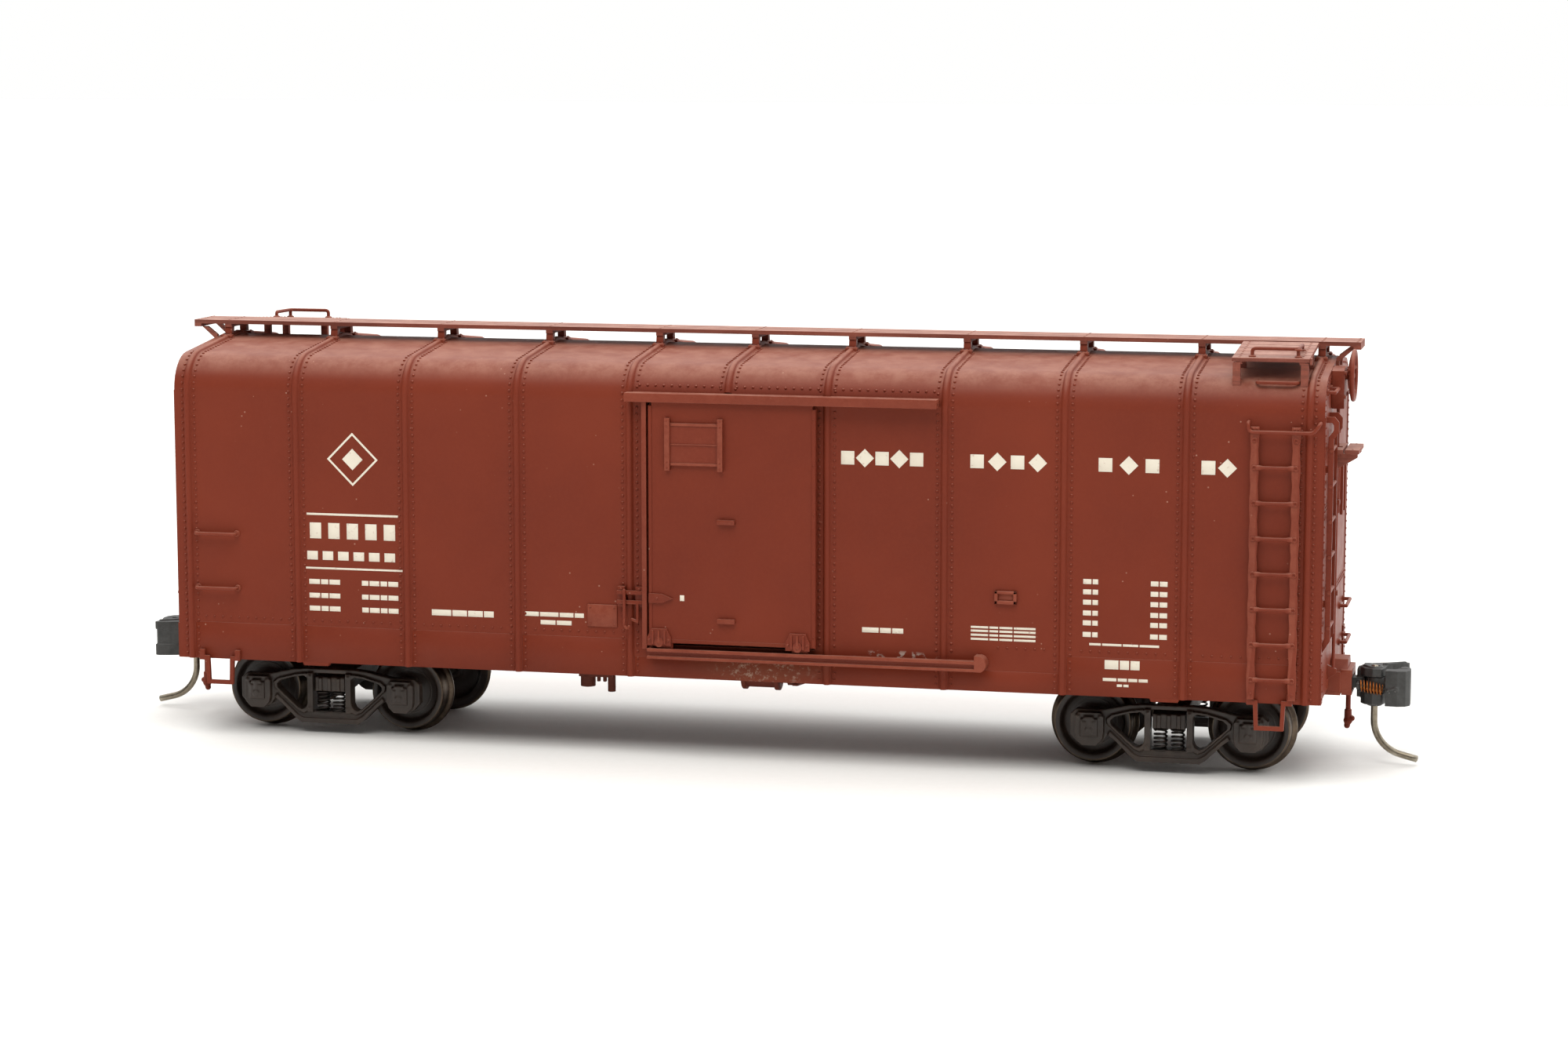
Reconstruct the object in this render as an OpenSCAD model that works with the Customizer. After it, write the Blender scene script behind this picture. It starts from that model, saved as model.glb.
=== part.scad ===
// Model box car, HO scale (1:87.1), wagon-top pattern: rounded eaves, half-round
// body ribs, sliding side doors, two four-wheel trucks and working knuckle couplers.
// Millimetres. +X is the brake end, +Z is up, z = 0 is the plane that the wheel
// flanges stand on, and the origin is under the middle of the car.

/* [Body] */
// Length over the two end sheets
body_l = 144.1; // [140:0.1:148]
// Half of the width over the side sheets
half_w = 17.05; // [16.6:0.05:17.4]
// Height of the bottom edge of the side sheets
sill_z = 10.05; // [9.9:0.05:10.3]
// Height where the side starts to roll over into the roof
eave_z = 44.2; // [43.9:0.1:45]
// Radius of the rolled eave
eave_r = 4.5; // [3.5:0.1:5]
// Slope of the roof in degrees
roof_a = 6; // [4:0.5:8]
// Thickness of the body shell
wall_t = 0.9; // [0.7:0.05:1]
// Distance from rib to rib
rib_pitch = 14.48; // [14.2:0.02:14.6]
// Distance of the door post ribs from the middle of the car
post_x = 12.42; // [12.2:0.02:12.6]
// Radius of a half-round rib
rib_r = 0.42; // [0.3:0.02:0.44]

/* [Doors] */
// Width of a door panel
door_w = 21; // [20.6:0.1:21]
// Height of a door panel
door_h = 29.3; // [28.5:0.1:29.4]
// Left edge of the closed door, from the middle of the car
door_x0 = -9.7; // [-9.75:0.01:-9.6]
// Bottom edge of the door panel
door_z0 = 14.6; // [14.6:0.05:14.7]
// Thickness of the door panel
door_t = 0.6; // [0.45:0.05:0.7]

/* [Trucks] */
// Half of the distance between the truck centres
truck_x = 53.7; // [53:0.1:54]
// Axle spacing in a truck
wheelbase = 19.25; // [19:0.05:19.6]
// Radius over the wheel flange
flange_r = 5.45; // [5.3:0.01:5.5]
// Radius of the wheel tread
tread_r = 4.815; // [4.7:0.005:4.9]
// Distance between the backs of the wheels
back_to_back = 14.4; // [14.3:0.05:14.5]
// Width of a wheel
wheel_w = 2.79; // [2.2:0.01:2.8]

/* [Couplers] */
// Height of the coupler shank's middle
coupler_z = 10.1; // [10:0.05:10.3]
// Distance of the coupler's pivot from the middle of the car
coupler_px = 67; // [66.8:0.1:67.2]
// Diameter of the trip pin
trip_d = 0.85; // [0.6:0.05:0.9]

/* [Roof walk] */
// Half length of the roof walk
walk_l = 75; // [74:0.1:76]
// Width of the roof walk
walk_w = 6; // [5.4:0.1:6]
// Height of the roof walk's top
walk_z = 51.95; // [51.8:0.05:52]

/* [Ladders] */
// Distance from rung to rung
rung_p = 4.21; // [4.1:0.01:4.25]
// Radius of a round iron
iron_r = 0.22; // [0.18:0.01:0.25]

/* [Hidden] */
$fn = 40;

end_t = 0.6;
hx = body_l / 2;                 // outer face of an end sheet
sx = hx - end_t;                 // end of the shell
arc_y = half_w - eave_r;         // centre of the eave arc
arc_a = 90 - roof_a;             // angle that the arc covers
tan_y = arc_y + eave_r * cos(arc_a);
tan_z = eave_z + eave_r * sin(arc_a);
ridge_z = tan_z + tan_y * tan(roof_a);
door_in = half_w + rib_r + 0.26; // inner face of the door, clear of the ribs
door_out = door_in + door_t;
track_out = door_out + 0.65;     // outer face of the door tracks
rib_xs = [for (i = [-4:4]) i == 0 ? 0 : (i > 0 ? post_x + (i - 1) * rib_pitch : -post_x + (i + 1) * rib_pitch)];
rib_all = concat(rib_xs, [post_x + 4 * rib_pitch, -post_x - 4 * rib_pitch]);
axle_z = flange_r;
top_rung = 42.45;

PAINT = "#7a3a2c";
PAINT_LIT = "#8a4a3a";
BLACK = "#2b2320";
STEEL = "#6e6a66";
GREY = "#4a4845";
BRONZE = "#9a6a35";

// ---------- helpers ----------
module bx(a, b) { translate(a) cube([b[0] - a[0], b[1] - a[1], b[2] - a[2]]); }
module xrun(x0, x1) { translate([x0, 0, 0]) rotate([90, 0, 90]) linear_extrude(x1 - x0) children(); } // 2D is (y, z)
module yrun(y0, y1) { translate([0, y1, 0]) rotate([90, 0, 0]) linear_extrude(y1 - y0) children(); }  // 2D is (x, z)
module zrun(z0, z1) { translate([0, 0, z0]) linear_extrude(z1 - z0) children(); }
module xcyl(x0, x1, y, z, r) { translate([x0, y, z]) rotate([0, 90, 0]) cylinder(r = r, h = x1 - x0); }
module ycyl(y0, y1, x, z, r) { translate([x, y0, z]) rotate([-90, 0, 0]) cylinder(r = r, h = y1 - y0); }
module zcyl(z0, z1, x, y, r) { translate([x, y, z0]) cylinder(r = r, h = z1 - z0); }
module both_ends() { children(); rotate([0, 0, 180]) children(); }   // the car repeats at half a turn

// car body section, shrunk by t; 2D is (y, z)
function arc_pts(t, n) = [for (i = [0:n]) let (a = arc_a * i / n) [arc_y + (eave_r - t) * cos(a), eave_z + (eave_r - t) * sin(a)]];
function flip(p) = [for (i = [len(p) - 1:-1:0]) [-p[i][0], p[i][1]]];
module section(t, z0) {
    a = arc_pts(t, 8);
    polygon(concat([[half_w - t, z0]], a, [[0, ridge_z - t / cos(roof_a)]], flip(a), [[-(half_w - t), z0]]));
}

// rib that wraps from sill to sill over the eaves and roof, rounded in two steps
module rib(x, full = true) {
    for (k = [[1, 0.6], [0.6, 1]])
        difference() {
            xrun(x - k[0] * rib_r, x + k[0] * rib_r) section(-k[1] * rib_r, sill_z);
            if (!full) bx([x - 1, -half_w - 1, sill_z - 1], [x + 1, half_w + 1, 45.4]);
        }
}

// ---------- body ----------
module body_shell() color(PAINT)
    difference() {
        union() {
            xrun(-sx, sx) section(0, sill_z);
            for (x = rib_all) rib(x, x != 0);
            // bolster ends that show below the side sheets
            for (s = [-1, 1], t = [-1, 1])
                bx([t * truck_x - 1.85, s > 0 ? half_w - wall_t : -half_w, sill_z - 0.4],
                   [t * truck_x + 1.85, s > 0 ? half_w : -half_w + wall_t, sill_z + 0.4]);
        }
        // inside
        xrun(-sx - 1, sx + 1) section(wall_t, sill_z - 1);
        // doorways
        both_ends() bx([-9.2, -half_w - 2, door_z0 - 0.4], [10.9, -half_w + 2, door_z0 + door_h - 0.5]);
    }

module end_sheet(x0, x1) {
    difference() {
        xrun(x0, x1) section(0, sill_z);
        bx([x0 - 1, -4.65, sill_z - 1], [x1 + 1, 4.65, 12.35]);
    }
}
module end_panel_brake_end() color(PAINT) {
    end_sheet(sx, hx);
    // corner gussets
    for (s = [-1, 1]) bx([hx, s > 0 ? half_w - 1.95 : -half_w + 0.1, sill_z], [hx + 0.2, s > 0 ? half_w - 0.1 : -half_w + 1.95, sill_z + 4.4]);
}
module end_panel_plain_end() rotate([0, 0, 180]) end_panel_brake_end();

module floor_plate() color(BLACK)
    difference() {
        bx([-sx + 0.1, -half_w + wall_t + 0.1, 11.2], [sx - 0.1, half_w - wall_t - 0.1, 12.3]);
        for (s = [-1, 1]) {
            zcyl(10, 13, s * truck_x, 0, 0.75);
            zcyl(10, 13, s * coupler_px, 0, 0.75);
            bx([s > 0 ? coupler_px - 3.4 : -sx - 1, -3.7, 11], [s > 0 ? sx + 1 : -coupler_px + 3.4, 3.7, 11.75]);
        }
    }

module underframe() color(PAINT)
    difference() {
        union() {
            // centre sill
            bx([-63.4, -1.9, 8.6], [63.4, 1.9, 11.2]);
            // cross bearers, deep in the middle and shallow at the sides
            for (x = [-34, -14.5, 14.5, 34]) yz_bearer(x, 1.3);
            // body bolsters
            for (s = [-1, 1]) {
                yz_bolster(s * truck_x, 3.6);
                zcyl(8.45, 9.2, s * truck_x, 0, 2.3);
            }
            // stringers
            for (y = [-9.6, 9.6], s = [-1, 1]) bx([s > 0 ? 15.1 : -33.4, y - 0.5, 10.4], [s > 0 ? 33.4 : -15.1, y + 0.5, 11.2]);
        }
        for (s = [-1, 1]) zcyl(8, 12, s * truck_x, 0, 0.75);
        // way for the air pipe and its branch
        xcyl(-70, 70, 4.3, 10.7, 0.36);
        ycyl(-7.3, 4.4, -18, 10.7, 0.32);
    }
module yz_bearer(x, w) xrun(x - w / 2, x + w / 2)
    polygon([[-15.9, 11.2], [-15.9, 10.3], [-4, 8.9], [4, 8.9], [15.9, 10.3], [15.9, 11.2]]);
module yz_bolster(x, w) xrun(x - w / 2, x + w / 2)
    polygon([[-15.9, 11.2], [-15.9, 9.9], [-4, 9.1], [4, 9.1], [15.9, 9.9], [15.9, 11.2]]);

module steel_weight() color(STEEL)
    difference() {
        bx([-60, -11, 12.3], [60, 11, 13.6]);
        for (s = [-1, 1]) zcyl(12, 14, s * truck_x, 0, 1.4);
    }

// ---------- roof walk ----------
module roof_walk() color(PAINT_LIT) {
    pw = (walk_w - 0.5) / 3;
    for (i = [-1:1]) bx([-walk_l, i * (pw + 0.25) - pw / 2, walk_z - 0.5], [walk_l, i * (pw + 0.25) + pw / 2, walk_z]);
    // end cleats and the cleats over the saddles
    for (x = concat([for (r = rib_all) r], [walk_l - 0.45, -walk_l + 0.45]))
        bx([x - 0.45, -walk_w / 2, walk_z - 0.9], [x + 0.45, walk_w / 2, walk_z - 0.5]);
    // diagonal end braces down to the end sheets
    both_ends() for (y = [-2.3, 2.3])
        yrun(y - 0.3, y + 0.3) polygon([[walk_l - 0.9, walk_z - 0.9], [walk_l - 1.6, walk_z - 0.9],
             [hx, 50.0], [hx, 48.7], [hx + 0.35, 48.7], [hx + 0.4, 49.6]]);
}
module roof_walk_saddles() color(PAINT)
    for (x = rib_all, s = [-1, 1])
        xrun(x - 0.45, x + 0.45)
            polygon([[s * 2.85, walk_z - 0.9], [s * 1.95, walk_z - 0.9],
                     [s * 2.05, ridge_z - 2.05 * tan(roof_a) + rib_r / cos(roof_a)], [s * 3.0, ridge_z - 3.0 * tan(roof_a) + rib_r / cos(roof_a)]]);

// lateral walk on one corner of the roof: boards run along the car
lat_x0 = 60.9; lat_x1 = 70; lat_y = -15.6; lat_z = 50.95; lat_a = 4.2;
function lat_top(y) = lat_z + (y - lat_y) * tan(lat_a) + 0.01;   // height of the boards' top
function roof_at(y) = ridge_z - abs(y) * tan(roof_a);
module lateral_walk_right() color(PAINT_LIT) {
    n = 5; y0 = lat_y; y1 = -3.25; gap = 0.22;
    bw = (y1 - y0 - (n - 1) * gap) / n;
    translate([0, y0, lat_z]) rotate([lat_a, 0, 0]) {
        for (i = [0:n - 1]) bx([lat_x0, i * (bw + gap), -0.45], [lat_x1, i * (bw + gap) + bw, 0]);
        for (x = [lat_x0 + 0.5, lat_x1 - 1.2]) bx([x, 0.1, -0.8], [x + 0.7, y1 - y0 - 0.1, -0.45]);
    }
    // brackets down to the rolled eave
    for (x = [lat_x0 + 0.1, lat_x1 - 1.0]) {
        difference() {
            bx([x, -15.5, 47.2], [x + 0.9, -14.9, 50.4]);
            translate([x - 1, -arc_y, eave_z]) rotate([0, 90, 0]) cylinder(r = eave_r, h = 3, $fn = 96);
        }
        xrun(x, x + 0.9) polygon([[-8.9, roof_at(8.9)], [-8.3, roof_at(8.3)], [-8.3, 50.75], [-8.9, 50.75]]);
    }
    // strap on the outer edge
    bx([lat_x1 + 0.02, -15.5, 50.2], [lat_x1 + 0.3, -14.7, 51.0]);
}
module lateral_walk_left() rotate([0, 0, 180]) lateral_walk_right();

// ---------- irons ----------
// straight iron from a to b with round ends
module iron(a, b, r = iron_r, foot = false) {
    d = [b[0] - a[0], b[1] - a[1], b[2] - a[2]];
    l = norm(d);
    translate(a) rotate([0, acos(d[2] / l), atan2(d[1], d[0])]) cylinder(r = r, h = l, $fn = 20);
    if (!foot) translate(a) sphere(r = r, $fn = 20);
    translate(b) sphere(r = r, $fn = 20);
}
// side grab iron along X at height z, with its feet on the side sheet
module side_grab(x0, x1, z) {
    yo = -half_w - 0.95;
    for (x = [x0, x1]) iron([x, -half_w, z], [x, yo, z], foot = true);
    iron([x0, yo, z], [x1, yo, z]);
    for (x = [x0, x1]) ycyl(-half_w - 0.25, -half_w, x, z, 0.42);
}
module side_grab_irons() color(PAINT)
    both_ends() {
        for (z = [26.15, 19.2]) side_grab(-69.3, -64.0, z);
        // at the eave, under the lateral walk
        difference() {
            union() {
                for (x = [63.9, 68.7]) iron([x, -14.0, 48.1], [x, -15.9, 48.1]);
                iron([63.9, -15.9, 48.1], [68.7, -15.9, 48.1]);
            }
            translate([62, -arc_y, eave_z]) rotate([0, 90, 0]) cylinder(r = eave_r, h = 9, $fn = 96);
        }
    }
module roof_grab_irons() color(PAINT)
    both_ends() {
        z1 = 52.0;
        for (p = [[63.2, -14.6], [68.6, -14.6], [68.6, -9.6]])
            iron([p[0], p[1], lat_top(p[1])], [p[0], p[1], z1 + (p[1] + 14.6) * 0.02], foot = true);
        iron([63.2, -14.6, z1], [68.6, -14.6, z1]);
        iron([68.6, -14.6, z1], [68.6, -9.6, z1 + 0.1]);
    }
module end_grab(y0, y1, z) {
    xo = hx + 0.95;
    for (y = [y0, y1]) { iron([hx, y, z], [xo, y, z], foot = true); xcyl(hx, hx + 0.25, y, z, 0.42); }
    iron([xo, y0, z], [xo, y1, z]);
}
module end_grab_irons() color(PAINT)
    both_ends() {
        end_grab(8.8, 14.6, 18.0);
        end_grab(8.8, 14.6, 13.4);
        end_grab(-14.9, -10.2, 47.0);
    }
// ladder on the side sheet: two flat stiles, seven rungs and a wide top iron
module side_ladder() {
    y0 = -half_w - 0.55; y1 = -half_w - 0.9;
    for (x = [64.0, 68.85]) {
        bx([x - 0.45, y1, 10.6], [x + 0.45, y0, 43.1]);
        for (z = [12.6, 27, 42.2]) bx([x - 0.3, y0, z - 0.4], [x + 0.3, -half_w, z + 0.4]);
        for (i = [1:7]) ycyl(y1 - 0.22, y1, x, top_rung - i * rung_p, 0.3);
    }
    for (i = [1:7]) xcyl(64.0, 68.85, y1 + 0.17, top_rung - i * rung_p, iron_r);
    iron([63.4, y1 - 0.15, top_rung], [70.9, y1 - 0.15, top_rung]);
    iron([70.9, y1 - 0.15, top_rung], [71.6, y1 - 0.15, top_rung + 1.1]);
    iron([63.4, y1 - 0.15, top_rung], [63.2, y1 - 0.15, top_rung + 1.1]);
    for (x = [71.6, 63.2]) iron([x, -half_w, top_rung + 1.1], [x, y1 - 0.15, top_rung + 1.1], foot = true);
}
module side_ladders() color(PAINT) both_ends() side_ladder();
// end ladder: two stiles on edge with curled feet and heads
module end_ladder() {
    for (y = [-15.6, -10.4]) {
        yrun(y - 0.2, y + 0.2) difference() {
            polygon([[hx, 16.0], [hx + 1.0, 17.6], [hx + 1.0, 41.6], [hx + 1.55, 42.4], [hx + 1.55, 43.6], [hx + 1.05, 44.2],
                     [hx, 44.2], [hx, 43.5], [hx + 0.75, 43.5], [hx + 0.95, 43.2], [hx + 0.95, 42.6], [hx + 0.35, 41.8], [hx + 0.35, 18.0], [hx, 17.2]]);
        }
        for (z = [22, 38]) bx([hx, y - 0.15, z - 0.4], [hx + 0.4, y + 0.15, z + 0.4]);
    }
    for (i = [0:5]) {
        translate([hx + 0.75, 0, 40.2 - i * 4.22]) ycyl(-15.9, -10.1, 0, 0, iron_r);
    }
}
module end_ladders() color(PAINT) both_ends() end_ladder();
// stirrup step: a bent strap under the side sheet
module stirrup(x) {
    yrun(-half_w - 0.5, -half_w) {
        polygon([[x - 2.7, sill_z + 1.2], [x - 2.7, sill_z - 0.15], [x - 1.9, sill_z - 0.15], [x - 1.75, 6.85], [x + 1.75, 6.85],
                 [x + 1.9, sill_z - 0.15], [x + 2.7, sill_z - 0.15], [x + 2.7, sill_z + 1.2], [x + 2.05, sill_z + 1.2], [x + 2.05, sill_z + 0.4],
                 [x + 1.4, sill_z + 0.4], [x + 1.3, 7.35], [x - 1.3, 7.35], [x - 1.4, sill_z + 0.4], [x - 2.05, sill_z + 0.4], [x - 2.05, sill_z + 1.2]]);
    }
}
module stirrup_steps() color(PAINT) both_ends() { stirrup(66.2); stirrup(-66.5); }

// ---------- doors ----------
// notch where a track crosses a rib
module rib_notch(x) bx([x - rib_r - 0.04, -half_w - rib_r - 0.04, 12], [x + rib_r + 0.04, -half_w + 1, 46]);
module upper_track() difference() {
    bx([-12.6, -track_out, 44.3], [26.2, -half_w - 0.02, 45.4]);
    bx([door_x0 - 0.2, -door_out - 0.12, 44], [27, -door_in + 0.12, 44.95]);
    for (s = [-1, 1]) rib_notch(s*post_x);
}
module upper_door_tracks() color(PAINT) both_ends() upper_track();
module lower_track() {
    difference() {
        bx([door_x0 - 0.15, -track_out + 0.4, 12.65], [30.95, -half_w - 0.02, 13.75]);
        for (x = [post_x, post_x + rib_pitch]) rib_notch(x);
    }
    // two lips along its face
    for (z = [[12.65, 13.0], [13.55, 13.95]]) bx([door_x0 - 0.15, -track_out, z[0]], [30.95, -track_out + 0.5, z[1]]);
    yrun(-track_out, -half_w - 0.02) union() {
        polygon([[30.95, 12.65], [31.4, 12.65], [31.4, 14.6], [30.95, 14.6]]);
        translate([31.4, 13.6]) intersection() { circle(r = 1.0); translate([0, -0.95]) square([2, 1.95]); }
    }
}
module lower_door_tracks() color(PAINT) both_ends() lower_track();
module door_stops() color(PAINT)
    both_ends() bx([door_x0 - 0.85, -door_out - 0.1, 13.8], [door_x0 - 0.25, -half_w - 0.02, 44.25]);

module door_panel() {
    bx([door_x0, -door_out, door_z0], [door_x0 + door_w, -door_in, door_z0 + door_h]);
    // tongue in the upper track
    bx([door_x0 + 0.4, -door_out, door_z0 + door_h], [door_x0 + door_w - 0.4, -door_in, 44.85]);
    // bottom guides over the lower track
    for (x = [door_x0 + 1, door_x0 + door_w - 3]) bx([x, -door_out, 13.85], [x + 2, -door_in, door_z0]);
}
module door_right() color(PAINT) door_panel();
module door_left() color(PAINT) rotate([0, 0, 180]) door_panel();
module hanger(x) {
    y = -door_out;
    yrun(y - 0.35, y) polygon([[x - 1.5, 14.3], [x + 1.5, 14.3], [x + 1.5, 15.3], [x + 1.0, 16.4], [x - 1.0, 16.4], [x - 1.5, 15.3]]);
    ycyl(y - 0.5, y - 0.35, x, 14.75, 0.6);
    for (d = [-0.75, 0, 0.75]) bx([x + d - 0.12, y - 0.55, 14.5], [x + d + 0.12, y - 0.35, 16.2]);
}
module door_fittings() {
    y = -door_out;
    hanger(-8.35);
    hanger(9.1);
    // placard board on two cleats
    bx([-7.1, y - 0.3, 36.6], [-0.6, y, 41.8]);
    for (x = [-7.5, -0.85]) bx([x, y - 0.6, 36.0], [x + 0.65, y, 42.4]);
    // finger handles
    for (z = [29.8, 17.6]) difference() {
        bx([-0.95, y - 0.5, z - 0.28], [1.25, y, z + 0.28]);
        bx([-0.55, y - 0.3, z - 1], [0.85, y - 0.1, z + 1]);
    }
    // pointed hasp strap
    yrun(y - 0.3, y) polygon([[door_x0 + 0.05, 19.55], [-8.0, 19.6], [-6.6, 20.15], [-8.0, 20.7], [door_x0 + 0.05, 20.75]]);
}
module door_right_fittings() color(PAINT_LIT) door_fittings();
module door_left_fittings() color(PAINT_LIT) rotate([0, 0, 180]) door_fittings();
// hasp keeper on the door post, with its hanging pin
module latch() {
    y = -half_w;
    bx([-13.9, y - 0.9, 20.4], [-10.6, y - 0.42, 20.85]);
    bx([-13.9, y - 0.9, 19.2], [-10.6, y - 0.42, 19.65]);
    bx([-13.9, y - 0.55, 18.8], [-13.0, y, 21.3]);
    bx([-11.6, y - 0.55, 18.8], [-10.7, y, 21.3]);
    iron([-12.9, y - 1.1, 20.9], [-12.9, y - 1.1, 17.2], 0.2);
    iron([-11.3, y - 0.75, 19.2], [-11.3, y - 0.75, 17.0], 0.18);
    iron([-11.3, y - 0.75, 17.0], [-12.0, y - 0.75, 17.3], 0.18);
    iron([-12.9, y - 1.1, 20.6], [-12.9, y - 0.5, 20.6], 0.2);
}
module door_latches() color(PAINT) both_ends() latch();
module card_plates() color(PAINT)
    both_ends() {
        bx([-17.9, -half_w - 0.2, 16.1], [-14.1, -half_w, 18.9]);
        difference() {
            bx([33.1, -half_w - 0.45, 20.8], [35.8, -half_w, 22.4]);
            bx([33.5, -half_w - 0.6, 21.2], [35.4, -half_w - 0.2, 22.6]);
        }
    }
module end_placard_boards() color(PAINT)
    both_ends() {
        bx([hx, 1.2, 30.6], [hx + 0.4, 8.6, 36.4]);
        for (y = [2.3, 6.6]) bx([hx + 0.4, y, 30.3], [hx + 0.75, y + 0.7, 36.7]);
    }

// ---------- hand brake ----------
bw_y = -6.6; bw_z = 48.3; bw_r = 3.15;
module brake_housing() color(PAINT) {
    difference() {
        xrun(hx, hx + 1.5) polygon([[-8.9, 46.5], [-8.2, 44.4], [-5.0, 44.4], [-4.3, 46.5], [-4.3, 49.0], [-5.3, 49.3], [-7.9, 49.3], [-8.9, 49.0]]);
        xcyl(hx + 0.5, hx + 3, bw_y, bw_z, 0.62);
    }
    for (y = [-8.5, -4.7], z = [45.9, 48.7]) xcyl(hx + 1.5, hx + 1.7, y, z, 0.25);
}
module brake_wheel() color(PAINT)
    difference() {
        union() {
            // rim
            translate([hx + 2.45, bw_y, bw_z]) rotate([0, 90, 0]) rotate_extrude($fn = 72) translate([bw_r - 0.3, 0]) circle(r = 0.3, $fn = 20);
            // hub and spindle
            xcyl(hx + 0.65, hx + 2.2, bw_y, bw_z, 0.56);
            xcyl(hx + 1.75, hx + 2.5, bw_y, bw_z, 0.9);
            // five dished spokes
            for (i = [0:4]) translate([0, bw_y, bw_z]) rotate([i * 72 + 18, 0, 0])
                translate([hx + 2.1, 0, 0]) rotate([0, 7, 0]) translate([-0.16, -0.22, 0.4]) cube([0.32, 0.44, bw_r - 0.85]);
        }
        xcyl(hx + 2.35, hx + 2.6, bw_y, bw_z, 0.3);
    }
module brake_platform() color(PAINT_LIT) {
    difference() {
        union() {
            bx([hx, -10, 39.2], [hx + 1.6, -2.6, 39.7]);
            bx([hx + 1.85, -10, 39.2], [hx + 3.5, -2.6, 39.7]);
        }
        bx([hx - 0.1, bw_y - 0.5, 39], [hx + 1.3, bw_y + 0.5, 40]);
    }
    for (y = [-9.6, -3.6])
        yrun(y, y + 0.6) polygon([[hx, 39.2], [hx + 3.3, 39.2], [hx + 3.3, 38.75], [hx + 0.7, 37.2], [hx, 37.2]]);
}
module brake_rod() color(PAINT) {
    zcyl(12.4, 44.4, hx + 0.7, bw_y, 0.2);
    for (z = [42.2, 41.4, 43.0]) zcyl(z, z + 0.45, hx + 0.7, bw_y, 0.36);
    for (z = [33, 22]) bx([hx, bw_y - 0.45, z - 0.3], [hx + 1.1, bw_y + 0.45, z + 0.3]);
    // bell crank at the bottom
    yrun(bw_y - 0.25, bw_y + 0.25) polygon([[hx, 11.4], [hx + 1.1, 12.2], [hx + 1.1, 12.7], [hx, 13.2]]);
}

// ---------- air brake ----------
module brake_cylinder() color(BLACK) {
    xcyl(0.1, 4.6, -8, 9.15, 1.45);
    xcyl(-0.3, 0.3, -8, 9.15, 1.75);
    xcyl(3.9, 4.5, -8, 9.15, 1.75);
    xcyl(4.6, 6.4, -8, 8.6, 0.28);
    bx([5.4, -8.3, 8.1], [6.0, -7.7, 9.1]);
    bx([0.8, -8.6, 10.2], [3.4, -7.4, 11.2]);
}
module air_reservoir() color(BLACK) {
    translate([-4.4, 8.6, 8.75]) rotate([0, 90, 0]) rotate_extrude()
        polygon([[0, 0], [0.9, 0.1], [1.6, 0.4], [2.0, 0.85], [2.1, 1.3], [2.1, 6.4], [2.3, 6.4], [2.3, 7.0], [2.1, 7.0], [2.1, 12.5], [2.0, 12.95], [1.6, 13.4], [0.9, 13.7], [0, 13.8]]);
    for (x = [-1.2, 5.2]) bx([x, 7.2, 10.2], [x + 1, 10.0, 11.2]);
}
module control_valve() color(BLACK) {
    bx([-22.4, -9, 9.6], [-15.4, -7, 11.2]);
    bx([-21.6, -8.9, 8.2], [-17.2, -7.1, 9.6]);
    zcyl(6.9, 8.3, -20.6, -8, 0.95);
    for (x = [-19.2, -18.4]) zcyl(7.5, 8.3, x, -8, 0.25);
    zcyl(6.3, 8.3, -17.5, -8, 0.5);
    xcyl(-22.2, -21.6, -8, 9.0, 0.6);
}
module brake_levers() color(BLACK) {
    // live lever between the cylinder rod and the centre rod
    zrun(8.05, 8.35) polygon([[6.0, -8.4], [6.7, -8.4], [10.6, 5.6], [9.9, 5.6]]);
    zrun(8.05, 8.35) polygon([[-11.0, -2.4], [-10.3, -2.4], [-8.4, 6.4], [-9.1, 6.4]]);
    iron([-10.0, 1.0, 7.85], [9.3, 1.0, 7.85], 0.2);
    iron([-10.7, -2.3, 7.85], [-41, -2.6, 7.85], 0.2);
    iron([10.2, 5.4, 7.85], [41, 3.0, 7.85], 0.2);
    for (x = [-41, 41]) bx([x - 0.3, x < 0 ? -2.8 : 2.8, 7.7], [x + 0.3, x < 0 ? -2.4 : 3.2, 8.6]);
    // hangers on the centre sill
    for (x = [-30, 30]) bx([x - 0.2, -3.1, 7.7], [x + 0.2, 3.4, 8.6]);
}
module train_line() color(BLACK) {
    for (s = [-1, 1]) rotate([0, 0, s < 0 ? 180 : 0]) {
        xcyl(0, 69.85, s > 0 ? 4.3 : -4.3, 10.7, 0.32);
    }
    iron([-18, 4.3, 10.4], [-18, 4.3, 9.9], 0.3);
    // branch to the control valve
    ycyl(-7.0, 4.3, -18, 10.7, 0.28);
}

// ---------- couplers ----------
module box_part() difference() {
    box_solid();
    // hole for the lid's screw
    zcyl(9, 13, coupler_px, 0, 0.62);
}
module box_solid() {
    difference() {
        union() {
            bx([coupler_px - 3.2, -3.3, 9.25], [73.4, 3.3, 11.7]);
            // striker
            bx([73.4, -3.0, 9.15], [74.75, 3.0, 11.95]);
            xrun(72.1, 74.2) polygon([[-2.6, 11.7], [2.6, 11.7], [1.7, 13.1], [-1.7, 13.1]]);
        }
        // cavity, open at the mouth
        bx([coupler_px - 2.4, -2.75, 9.0], [74.9, 2.75, 10.95]);
    }
    // post that the coupler turns on
    zcyl(9.25, 10.95, coupler_px, 0, 0.95);
    // lower lip of the striker
    bx([73.5, -3.0, 8.85], [74.75, 3.0, 9.15]);
}
module coupler_boxes() color(PAINT) both_ends() box_part();
module coupler_box_lids() color(PAINT)
    both_ends() difference() {
        bx([coupler_px - 3.2, -3.3, 8.85], [73.4, 3.3, 9.25]);
        zcyl(8, 10, coupler_px, 0, 0.62);
    }
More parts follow.
